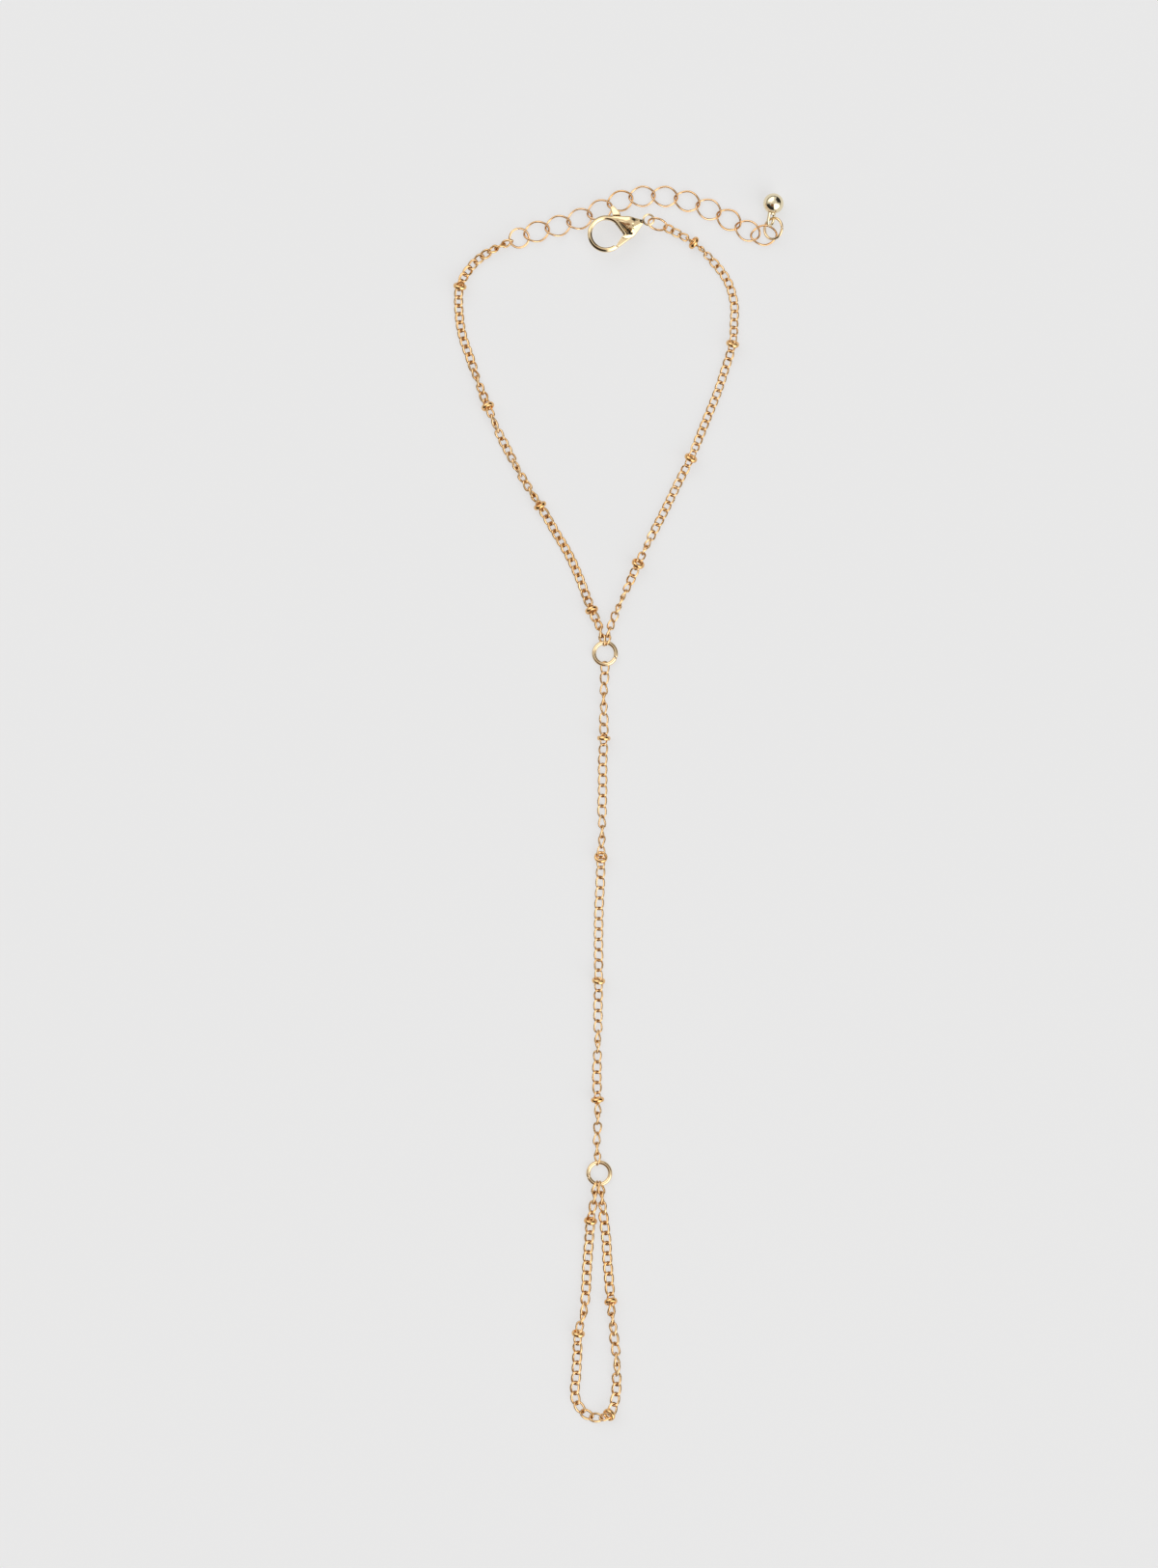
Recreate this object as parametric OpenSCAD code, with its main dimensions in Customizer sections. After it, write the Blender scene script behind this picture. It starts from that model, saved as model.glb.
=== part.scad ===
// Hand chain bracelet: a fine gold chain loop for the wrist, a stem down the back of the hand and a small loop
// for a finger, with threaded beads, a lobster clasp and an extender that ends in a ball drop.
// It lies flat on z = 0 as it was laid out, +Y towards the extender, with the origin under the middle of its box.

/* [Fine chain] */
// Width of the chain of the wrist loop
wrist_chain_w = 1.5; // [1.3:0.05:1.6]
// Width of the chain of the stem and of the finger loop
hand_chain_w = 1.55; // [1.4:0.05:1.65]
// Height of a lying chain
chain_h = 0.8; // [0.6:0.1:0.9]
// Width of a chain where it runs through a bead or ends at a ring
neck_w = 0.85; // [0.7:0.05:0.9]

/* [Beads] */
// Outer diameter of a bead
bead_d = 2.45; // [2.3:0.05:2.6]
// Length of a bead along the chain
bead_l = 0.85; // [0.7:0.05:0.95]
// Diameter of the hole of a bead
bead_hole_d = 1.25; // [1.2:0.05:1.3]

/* [Extender] */
// Length of an extender link
link_l = 4.8; // [4.76:0.02:4.84]
// Width of an extender link
link_w = 3.76; // [3.6:0.02:3.8]
// Wire of an extender link
link_wire = 0.34; // [0.3:0.02:0.36]
// Turn of each half of an extender link about its length, in degrees
link_twist = 30; // [28:1:34]

/* [Rings] */
// Outer diameter of the two rings where the stem meets the loops
joint_ring_d = 4.4; // [4.3:0.1:4.5]
// Wire of those two rings
joint_ring_wire = 0.56; // [0.5:0.02:0.6]
// Outer diameter of the ring that starts the extender
start_ring_d = 3.7; // [3.6:0.1:3.8]
// Outer diameter of the ring between the clasp and the chain
clasp_ring_d = 3.6; // [3.5:0.1:3.7]
// Outer diameter of the ring that carries the ball drop
end_ring_d = 4.0; // [3.9:0.1:4.1]
// Wire of the small rings
small_ring_wire = 0.38; // [0.34:0.02:0.4]

/* [Ball drop] */
// Diameter of the ball
ball_d = 3.5; // [3.3:0.1:3.6]
// Wire of the bail on the ball
bail_wire = 0.36; // [0.3:0.02:0.38]
// Width of the bail between its wires
bail_gap = 0.64; // [0.6:0.02:0.7]
// How far the bail reaches past the ball
bail_reach = 2.1; // [2.0:0.1:2.2]

/* [Clasp] */
// Outer radius of the hook
hook_r = 3.15; // [3.1:0.05:3.2]
// Radius of the hook's hole
hook_hole_r = 2.4; // [2.3:0.05:2.45]
// Thickness of the hook
hook_h = 1.5; // [1.4:0.1:1.6]
// Radius of the cheeks round the rivet
cheek_r = 1.9; // [1.85:0.05:1.95]
// Thickness over the two cheeks
cheek_h = 2.2; // [2.1:0.1:2.4]
// Thickness of the lever between the cheeks
lever_h = 0.9; // [0.8:0.05:0.95]
// Gap between the lever and each cheek
slot_gap = 0.1; // [0.08:0.01:0.15]
// Distance from the rivet to the end of the gate
gate_reach = 3.75; // [3.7:0.05:3.8]
// Diameter of the rivet
rivet_d = 0.7; // [0.6:0.05:0.75]
// How far the lever turns to open, in degrees
lever_travel = 25; // [20:1:26]
// Outer radius of the eye at the tail
eye_r = 1.1; // [1.05:0.05:1.15]
// Wire of the eye
eye_wire = 0.4; // [0.34:0.02:0.42]

/* [Hidden] */
$fn = 48;
BEADS = 16;
LINKS = 12;
function numbered(stem, i) = str(stem, i < 10 ? "_0" : "_", i);

// Colours of the finishes
ROSE_GOLD = [0.80, 0.56, 0.36];
YELLOW_GOLD = [0.84, 0.68, 0.42];
CHAMPAGNE_GOLD = [0.90, 0.82, 0.62];

// Play between parts that are put together, and the smallest overlap that welds two bodies
play = 0.1;
weld = 0.02;

// Routes of the four chains, each point as x, y and 1 where a bead is threaded
LEFT_ROUTE = [
    [-19.3, 96.8, 0], [-22.6, 95.2, 0], [-25.4, 92.9, 0], [-27.4, 89.3, 1], [-27.6, 85.3, 0], [-27.0, 81.0, 0],
    [-25.7, 77.1, 0], [-24.4, 73.2, 0], [-22.6, 68.6, 1], [-20.8, 64.3, 0], [-18.8, 60.4, 0], [-16.7, 56.5, 0],
    [-13.6, 51.5, 1], [-11.0, 47.1, 0], [-8.7, 43.2, 0], [-6.9, 39.3, 0], [-4.7, 33.5, 1], [-3.3, 29.0, 0]
];
RIGHT_ROUTE = [
    [9.0, 99.3, 0], [12.9, 96.8, 1], [16.3, 93.6, 0], [18.8, 90.2, 0], [19.9, 86.4, 0], [19.9, 83.2, 0],
    [19.6, 79.4, 1], [18.3, 75.0, 0], [16.9, 70.8, 0], [15.4, 67.1, 0], [14.0, 63.6, 0], [12.4, 59.7, 1],
    [10.3, 55.6, 0], [8.1, 51.1, 0], [5.9, 46.8, 0], [3.3, 41.5, 1], [1.6, 37.7, 0], [-0.2, 33.7, 0],
    [-1.6, 29.0, 0]
];
STEM_ROUTE = [
    [-2.6, 23.5, 0], [-2.6, 19.5, 0], [-2.6, 15.5, 0], [-2.6, 11.4, 1], [-2.8, 7.4, 0], [-2.8, 3.2, 0],
    [-2.9, -1.0, 0], [-2.9, -5.0, 0], [-3.1, -9.1, 1], [-3.2, -13.2, 0], [-3.4, -17.4, 0], [-3.5, -21.6, 0],
    [-3.5, -26.0, 0], [-3.5, -30.4, 1], [-3.6, -34.6, 0], [-3.6, -38.8, 0], [-3.7, -42.8, 0], [-3.8, -46.8, 0],
    [-3.7, -50.9, 1], [-3.7, -55.0, 0], [-3.8, -58.2, 0], [-3.6, -61.1, 0]
];
FINGER_ROUTE = [
    [-4.3, -66.4, 0], [-4.5, -68.6, 0], [-4.9, -71.8, 1], [-5.2, -76.0, 0], [-5.5, -80.0, 0], [-5.7, -84.0, 0],
    [-6.1, -87.6, 0], [-7.0, -91.2, 1], [-7.2, -95.3, 0], [-7.4, -99.0, 0], [-7.6, -102.0, 0], [-6.5, -104.4, 0],
    [-4.5, -105.7, 0], [-1.7, -105.2, 1], [-0.6, -102.4, 0], [-0.4, -99.0, 0], [-0.4, -95.6, 0], [-0.8, -92.3, 0],
    [-1.1, -89.2, 0], [-1.4, -85.7, 1], [-1.7, -82.0, 0], [-2.0, -78.4, 0], [-2.2, -74.9, 0], [-2.5, -71.6, 0],
    [-2.7, -68.6, 0], [-3.0, -66.4, 0]
];
// Spline steps between two points of a route
ROUTE_STEPS = 8;
// Sides of a swept section
SIDES = 8;
// Half length of the neck in a bead, and where the chain lies at its full width again
neck_half = bead_l / 2 + 0.2;
slope_end = 2.5;
// Largest distance between two sections on a straight stretch and on the finger loop
plain_step = 5;
bent_step = 2.7;
// Height of the chain's middle in a bead, and at the end that hangs on the clasp's ring
bead_z = bead_d / 2;
clasp_end_z = 1.1;

// Middles of the extender links, from the start ring to the ball drop
LINK_PLACES = [
    [-14.2, 98.8], [-10.5, 99.8], [-6.8, 101.0], [-3.3, 102.5], [0.2, 104.1], [4.0, 104.9],
    [7.9, 104.9], [11.75, 104.1], [15.45, 102.7], [18.95, 100.9], [22.2, 99.0], [25.0, 98.2]
];
// Sections along one extender link
LINK_SECTIONS = 20;
link_a = (link_l - link_wire) / 2;
link_b = (link_w - link_wire) / 2;
// Height of a link's middle, with its lowest wire on z = 0
link_z = link_b * sin(45) * sin(link_twist * cos(45)) + link_wire / 2 + 0.01;

// Places of the rings, and how they lean
WRIST_JOINT = [-2.4, 26.05];
FINGER_JOINT = [-3.4, -63.65];
joint_ring_z = joint_ring_wire / 2 + 0.26;
START_RING = [-17.2, 97.7];
start_ring_roll = 20;
CLASP_RING = [6.65, 99.95, 1.65];
clasp_ring_turn = -24;
clasp_ring_dip = 14;
clasp_ring_roll = 62;
END_RING = [26.6, 99.25, 1.3];
end_ring_roll = 37;

// The ball rests on z = 0, and its bail dips and leans towards the ring that carries it
BALL = [26.6, 103.5, ball_d / 2];
bail_dip = 12;
bail_lean = 37;
bail_half = (bail_gap + bail_wire) / 2;

// The clasp lies on the extender, drawn about its rivet
CLASP = [1.4, 99.3, 2.05];
HOOK = [-3.65, -1.1];
TAIL = [2.3, 0.85];
tail_r = 0.5;
EYE = [3.7, 1.35];
MOUTH_CORNER = [-0.6, -1.3];
corner_r = 0.05;
gate_root = cheek_r + play;
hook_cut = gate_reach + play;
// Thumb tab: where it leaves the body, and its tip
TAB_ROOT = [-1.95, 2.05];
TAB_TIP = [-2.7, 3.55];
tab_root_r = 0.55;
tab_tip_r = 0.25;
hub_r = 1.2;

// Directions of the mouth and of the slot of the thumb tab, in degrees about the rivet
mouth_from = 226;
mouth_to = 315;
gate_from = mouth_from + 3;
slot_r = gate_root + weld + play;
slot_margin = 5;
tab_turn = atan2(TAB_ROOT[1], TAB_ROOT[0]);
tab_slot_from = tab_turn - asin(hub_r / 2 / (hub_r + play)) - slot_margin - lever_travel;
tab_slot_to = tab_turn + asin(tab_root_r / norm(TAB_ROOT)) + slot_margin;

// Spline through a route, with the end directions carried on
function route_xy(route, i) =
    let (n = len(route) - 1)
    i < 0 ? 2 * xy(route[0]) - xy(route[1]) :
    i > n ? 2 * xy(route[n]) - xy(route[n - 1]) :
    xy(route[i]);
function xy(p) = [p[0], p[1]];
function spline(a, b, c, d, t) =
    0.5 * (2 * b + (c - a) * t + (2 * a - 5 * b + 4 * c - d) * t * t + (3 * b - a - 3 * c + d) * t * t * t);
function route_line(route) = [
    for (k = [0:(len(route) - 1) * ROUTE_STEPS])
        let (i = min(floor(k / ROUTE_STEPS), len(route) - 2), t = k / ROUTE_STEPS - i)
        spline(route_xy(route, i - 1), route_xy(route, i), route_xy(route, i + 1), route_xy(route, i + 2), t)
];
// Length along a line up to each of its points
function lengths(line, i = 1, sum = [0]) =
    i == len(line) ? sum : lengths(line, i + 1, concat(sum, sum[i - 1] + norm(line[i] - line[i - 1])));
function column(line, at, c) = [for (i = [0:len(line) - 1]) [at[i], line[i][c]]];
function unit(v) = v / norm(v);
function smooth(t) = let (u = max(0, min(1, t))) u * u * (3 - 2 * u);
function blend(a, b, t) = a + (b - a) * t;

// Lengths along a chain at which its beads sit
function bead_stations(route) =
    let (at = lengths(route_line(route)))
    [for (i = [0:len(route) - 1]) if (route[i][2] == 1) at[i * ROUTE_STEPS]];
// Places of the sections between two lengths
function even(from, to, step) =
    let (n = ceil((to - from) / step))
    [for (i = [1:n - 1]) from + (to - from) * i / n];
function sections_at(total, beads, step, i = 0, from = 0) =
    i == len(beads)
    ? concat([from + (i == 0 ? 0 : slope_end)], even(from + slope_end, total - slope_end, step), [total - slope_end, total])
    : concat(
        i == 0 ? [0, slope_end] : [from + slope_end],
        even(from + slope_end, beads[i] - slope_end, step),
        [beads[i] - slope_end, beads[i] - neck_half, beads[i] + neck_half],
        sections_at(total, beads, step, i + 1, beads[i])
    );

// One section: eight points round a middle, flat on its lowest side
function section(middle, side, up, w, h) = [
    for (k = [0:SIDES - 1])
        let (a = (k + 0.5) * 360 / SIDES)
        middle + (side * w * cos(a) + up * h * sin(a)) / 2 / cos(180 / SIDES)
];
// Faces over rings of points, with the two ends closed by caps or joined to each other
function tube_faces(rings, closed) =
    let (spans = closed ? rings : rings - 1)
    concat(
        [
            for (i = [0:spans - 1]) for (k = [0:SIDES - 1])
                let (
                    a = i * SIDES + k,
                    b = i * SIDES + (k + 1) % SIDES,
                    c = ((i + 1) % rings) * SIDES + (k + 1) % SIDES,
                    d = ((i + 1) % rings) * SIDES + k
                )
                each [[a, b, c], [a, c, d]]
        ],
        closed ? [] : [
            [for (k = [SIDES - 1:-1:0]) k],
            [for (k = [0:SIDES - 1]) (rings - 1) * SIDES + k]
        ]
    );
module sweep(rings, closed = false) {
    polyhedron(
        points = [for (r = rings) each r],
        faces = tube_faces(len(rings), closed),
        convexity = 10
    );
}

// Distance to the nearest of some lengths
function nearest(s, places) = min([for (p = places) abs(s - p)]);

// A fine chain as one tube along its route, narrow and raised where it runs through a bead
module chain(route, w, step, start_z = chain_h / 2) {
    line = route_line(route);
    at = lengths(line);
    total = at[len(at) - 1];
    beads = bead_stations(route);
    xs = column(line, at, 0);
    ys = column(line, at, 1);
    function place(s) = [lookup(s, xs), lookup(s, ys)];
    function slope(d) = smooth((d - neck_half) / (slope_end - neck_half));
    rings = [
        for (s = sections_at(total, beads, step))
            let (
                ahead = unit(place(min(s + 0.2, total)) - place(max(s - 0.2, 0))),
                side = [-ahead[1], ahead[0], 0],
                open = min(slope(nearest(s, beads)), smooth(min(s, total - s) / slope_end)),
                low = blend(bead_z, chain_h / 2, slope(nearest(s, beads))),
                z = low + (start_z - chain_h / 2) * (1 - smooth(s / slope_end))
            )
            section(concat(place(s), z), side, [0, 0, 1], blend(neck_w, w, open), chain_h)
    ];
    sweep([for (i = [len(rings) - 1:-1:0]) rings[i]]);
}
module wrist_chain_left() {
    color(ROSE_GOLD) chain(LEFT_ROUTE, wrist_chain_w, plain_step);
}
module wrist_chain_right() {
    color(ROSE_GOLD) chain(RIGHT_ROUTE, wrist_chain_w, plain_step, clasp_end_z);
}
module stem_chain() {
    color(ROSE_GOLD) chain(STEM_ROUTE, hand_chain_w, plain_step);
}
module finger_chain() {
    color(ROSE_GOLD) chain(FINGER_ROUTE, hand_chain_w, bent_step);
}

// Places of the beads, each as its middle and the direction of its chain
function route_beads(route) = [
    for (i = [0:len(route) - 1]) if (route[i][2] == 1)
        let (ahead = route_xy(route, i + 1) - route_xy(route, i - 1))
        [route[i][0], route[i][1], atan2(ahead[1], ahead[0])]
];
BEAD_PLACES = [for (route = [LEFT_ROUTE, RIGHT_ROUTE, STEM_ROUTE, FINGER_ROUTE]) each route_beads(route)];

// A bead: a round-edged ring whose hole runs along the chain
module bead(i) {
    place = BEAD_PLACES[i - 1];
    wall = (bead_d - bead_hole_d) / 2;
    edge_r = wall / 2;
    color(YELLOW_GOLD) translate([place[0], place[1], bead_d / 2]) rotate([0, 90, place[2]])
        rotate_extrude() translate([bead_hole_d / 2 + edge_r, 0]) {
            for (y = [-1, 1]) translate([0, y * (bead_l / 2 - edge_r)]) circle(r = edge_r);
            square([wall, bead_l - wall], center = true);
        }
}

// A round ring of round wire, lying in the XY plane about the origin
module ring(outer_d, wire) {
    rotate_extrude() translate([(outer_d - wire) / 2, 0]) circle(d = wire);
}
module wrist_joint_ring() {
    color(YELLOW_GOLD) translate(concat(WRIST_JOINT, joint_ring_z)) ring(joint_ring_d, joint_ring_wire);
}
module finger_joint_ring() {
    color(YELLOW_GOLD) translate(concat(FINGER_JOINT, joint_ring_z)) ring(joint_ring_d, joint_ring_wire);
}
module start_ring() {
    lean = (start_ring_d - small_ring_wire) / 2 * sin(start_ring_roll);
    color(ROSE_GOLD) translate(concat(START_RING, lean + small_ring_wire / 2)) rotate([0, 0, link_turn(1)])
        rotate([start_ring_roll, 0, 0]) ring(start_ring_d, small_ring_wire);
}
module clasp_ring() {
    color(ROSE_GOLD) translate(CLASP_RING) rotate([0, 0, clasp_ring_turn]) rotate([0, clasp_ring_dip, 0])
        rotate([clasp_ring_roll, 0, 0]) ring(clasp_ring_d, small_ring_wire);
}
module end_ring() {
    color(CHAMPAGNE_GOLD) translate(END_RING) rotate([0, -end_ring_roll, 0]) ring(end_ring_d, small_ring_wire);
}

// Direction of an extender link: from the link before it to the link after it
function link_before(i) = i == 1 ? START_RING : LINK_PLACES[i - 2];
function link_after(i) = i == LINKS ? xy(END_RING) : LINK_PLACES[i];
function link_turn(i) = let (along = link_after(i) - link_before(i)) atan2(along[1], along[0]);

// A twisted oval link of round wire: its two halves lean opposite ways, so that it lies through its neighbours
module extender_link(i) {
    function middle(a) =
        let (lean = link_twist * cos(a))
        [link_a * cos(a), link_b * sin(a) * cos(lean), link_b * sin(a) * sin(lean)];
    color(ROSE_GOLD) translate(concat(LINK_PLACES[i - 1], link_z)) rotate([0, 0, link_turn(i)])
        sweep([
            for (n = [0:LINK_SECTIONS - 1])
                let (
                    a = 360 * n / LINK_SECTIONS,
                    ahead = unit(middle(a + 1) - middle(a - 1)),
                    out = unit(middle(a) - (middle(a) * ahead) * ahead),
                    up = cross(ahead, out)
                )
                section(middle(a), out, up, link_wire, link_wire)
        ], closed = true);
}

// The ball with its bail: two straight wires and a round end, drawn along -Y from the ball's middle
module ball_drop() {
    straight = ball_d / 2 + bail_reach - bail_wire / 2 - bail_half;
    color(CHAMPAGNE_GOLD) translate(BALL) {
        sphere(d = ball_d);
        rotate([bail_dip, 0, 0]) rotate([0, -90 - bail_lean, 0]) {
            for (side = [-1, 1]) translate([side * bail_half, 0, 0]) rotate([90, 0, 0])
                cylinder(d = bail_wire, h = straight);
            translate([0, -straight, 0]) rotate([0, 0, 180])
                rotate_extrude(angle = 180) translate([bail_half, 0]) circle(d = bail_wire);
        }
    }
}

// Two circles and the shape that their outer tangents enclose
module band(a, ar, b, br) {
    across = b - a;
    turn = atan2(across[1], across[0]);
    lean = acos((ar - br) / norm(across));
    function touch(p, r, side) = p + r * [cos(turn + side * lean), sin(turn + side * lean)];
    translate(a) circle(r = ar);
    translate(b) circle(r = br);
    polygon([touch(a, ar, 1), touch(a, ar, -1), touch(b, br, -1), touch(b, br, 1)]);
}
// A pie slice about the origin, between two directions
module slice(r, from, to) {
    n = ceil((to - from) / 30);
    intersection() {
        circle(r = r);
        polygon(concat([[0, 0]], [
            for (i = [0:n]) let (a = from + (to - from) * i / n) 1.5 * r * [cos(a), sin(a)]
        ]));
    }
}
// The hook's hole, drawn out to a corner beside the gate
module hook_hole() {
    band(HOOK, hook_hole_r, MOUTH_CORNER, corner_r);
}
// The clasp's outline with the gate shut, without its eye
module clasp_outline() {
    band(HOOK, hook_r, [0, 0], cheek_r);
    band([0, 0], cheek_r, TAIL, tail_r);
}
module plate(h) {
    translate([0, 0, -h / 2]) linear_extrude(h) children();
}
// The hook and its root, open at the mouth
module clasp_hook() {
    plate(hook_h) difference() {
        clasp_outline();
        hook_hole();
        slice(hook_cut, mouth_from, mouth_to);
    }
}
// The cheeks and the tail
module clasp_cheeks() {
    plate(cheek_h) difference() {
        union() {
            circle(r = cheek_r);
            band([0, 0], cheek_r, TAIL, tail_r);
        }
        hook_hole();
    }
}
// Room between the cheeks for the lever, its gate and its thumb tab
module lever_room() {
    plate(lever_h + 2 * slot_gap) {
        circle(r = hub_r + play);
        slice(slot_r, tab_slot_from, mouth_to);
        slice(2 * slot_r, tab_slot_from, tab_slot_to);
    }
}
module clasp_eye() {
    translate(concat(EYE, 0)) ring(2 * eye_r, eye_wire);
}
module clasp_body() {
    color(CHAMPAGNE_GOLD) translate(CLASP) {
        difference() {
            union() {
                clasp_hook();
                clasp_cheeks();
            }
            lever_room();
            cylinder(d = rivet_d + play, h = 2 * cheek_h, center = true);
        }
        clasp_eye();
    }
}
// The gate beyond the cheeks, as thick as the hook
module lever_gate() {
    plate(hook_h) difference() {
        intersection() {
            clasp_outline();
            slice(gate_reach, gate_from, mouth_to);
        }
        hook_hole();
        circle(r = gate_root);
    }
}
// The thin middle of the lever, from the gate through the rivet to the thumb tab
module lever_web() {
    plate(lever_h) {
        circle(r = hub_r);
        difference() {
            intersection() {
                clasp_outline();
                slice(gate_root + weld, gate_from, mouth_to - 20);
            }
            hook_hole();
        }
        band([0, 0], hub_r / 2, TAB_ROOT, tab_root_r);
        band(TAB_ROOT, tab_root_r, TAB_TIP, tab_tip_r);
    }
}
module clasp_lever() {
    color(CHAMPAGNE_GOLD) translate(CLASP) difference() {
        union() {
            lever_gate();
            lever_web();
        }
        cylinder(d = rivet_d + play, h = 2 * cheek_h, center = true);
    }
}
module clasp_rivet() {
    color(CHAMPAGNE_GOLD) translate(CLASP) cylinder(d = rivet_d, h = cheek_h, center = true);
}

wrist_chain_left();
wrist_chain_right();
stem_chain();
finger_chain();
wrist_joint_ring();
finger_joint_ring();
start_ring();
clasp_ring();
end_ring();
ball_drop();
clasp_body();
clasp_lever();
clasp_rivet();
for (i = [1:LINKS]) extender_link(i);
for (i = [1:BEADS]) bead(i);
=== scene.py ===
"""Hand chain bracelet, laid out flat: a fine gold chain loop for the wrist with a lobster clasp and an
extender, a stem down the back of the hand and a loop for a finger, threaded with small polished beads."""

import logging
import math
from collections.abc import Callable, Sequence
from dataclasses import dataclass
from enum import Enum
from functools import partial

import bmesh
import bpy
import numpy as np
from bpy.types import Camera, Material, Mesh, Node, NodeSocket, NodeTree, Object
from mathutils import Euler, Matrix, Vector


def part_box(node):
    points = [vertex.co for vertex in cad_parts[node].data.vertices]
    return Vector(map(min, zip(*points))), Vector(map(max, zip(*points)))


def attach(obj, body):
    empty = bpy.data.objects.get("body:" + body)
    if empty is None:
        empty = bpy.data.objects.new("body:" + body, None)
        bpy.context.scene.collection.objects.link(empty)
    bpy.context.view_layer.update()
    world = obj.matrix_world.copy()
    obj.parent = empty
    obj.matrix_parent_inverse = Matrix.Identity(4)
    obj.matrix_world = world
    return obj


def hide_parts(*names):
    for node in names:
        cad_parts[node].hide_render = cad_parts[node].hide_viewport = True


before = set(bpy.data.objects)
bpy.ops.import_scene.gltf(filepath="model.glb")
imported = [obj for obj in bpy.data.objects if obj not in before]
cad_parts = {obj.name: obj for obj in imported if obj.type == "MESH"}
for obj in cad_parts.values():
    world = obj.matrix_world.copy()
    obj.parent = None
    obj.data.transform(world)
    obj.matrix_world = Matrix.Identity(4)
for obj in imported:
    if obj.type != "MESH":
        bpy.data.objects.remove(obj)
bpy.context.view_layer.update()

LOG = logging.getLogger("hand_chain_bracelet")
MM = 0.001
SEED = 7

Span = tuple[float, float]
Point = tuple[float, float]
Triple = tuple[float, float, float]
Circle = tuple[float, float, float]
Colour = tuple[float, float, float]
Array = np.ndarray


class Body(Enum):
    """CAD bodies that pieces ride on."""

    BRACELET = "bracelet"
    LEVER = "lever"


class Slot(Enum):
    """Material slots of the record."""

    CHAIN = "chain_gold"
    EXTENDER = "extender_gold"
    RING = "ring_gold"
    BEAD = "bead_gold"
    DROP = "drop_gold"
    CLASP = "clasp_gold"


def math_method(operation: str, swapped: bool = False) -> Callable[..., "Wire"]:
    """Makes a method of a wire that adds a Math node.

    Args:
        operation: the node's operation.
        swapped: whether the wire is the second input, as where a number stands on the left.

    Returns:
        The method.
    """

    def method(wire: "Wire", *others: "Wire | float") -> "Wire":
        """Output of the Math node."""
        values = (*others, wire) if swapped else (wire, *others)
        return wire.board.out("ShaderNodeMath", dict(enumerate(values)), operation=operation)

    return method


@dataclass(frozen=True)
class Wire:
    """A node's output that works in arithmetic; an expression on wires adds its Math nodes."""

    board: "Board"
    socket: NodeSocket

    __add__ = math_method("ADD")
    __radd__ = math_method("ADD", swapped=True)
    __sub__ = math_method("SUBTRACT")
    __rsub__ = math_method("SUBTRACT", swapped=True)
    __mul__ = math_method("MULTIPLY")
    __rmul__ = math_method("MULTIPLY", swapped=True)
    __truediv__ = math_method("DIVIDE")
    sine = math_method("SINE")
    cosine = math_method("COSINE")
    root = math_method("SQRT")

    def step(self, low: float, high: float) -> "Wire":
        """Smooth step.

        Args:
            low: value that gives 0.
            high: value that gives 1; it may be the smaller of the two.

        Returns:
            A value from 0 to 1.
        """
        if low > high:
            return 1.0 - self.step(high, low)
        ends = {"Value": self, "From Min": low, "From Max": high}
        return self.board.out("ShaderNodeMapRange", ends, interpolation_type="SMOOTHSTEP")


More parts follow.
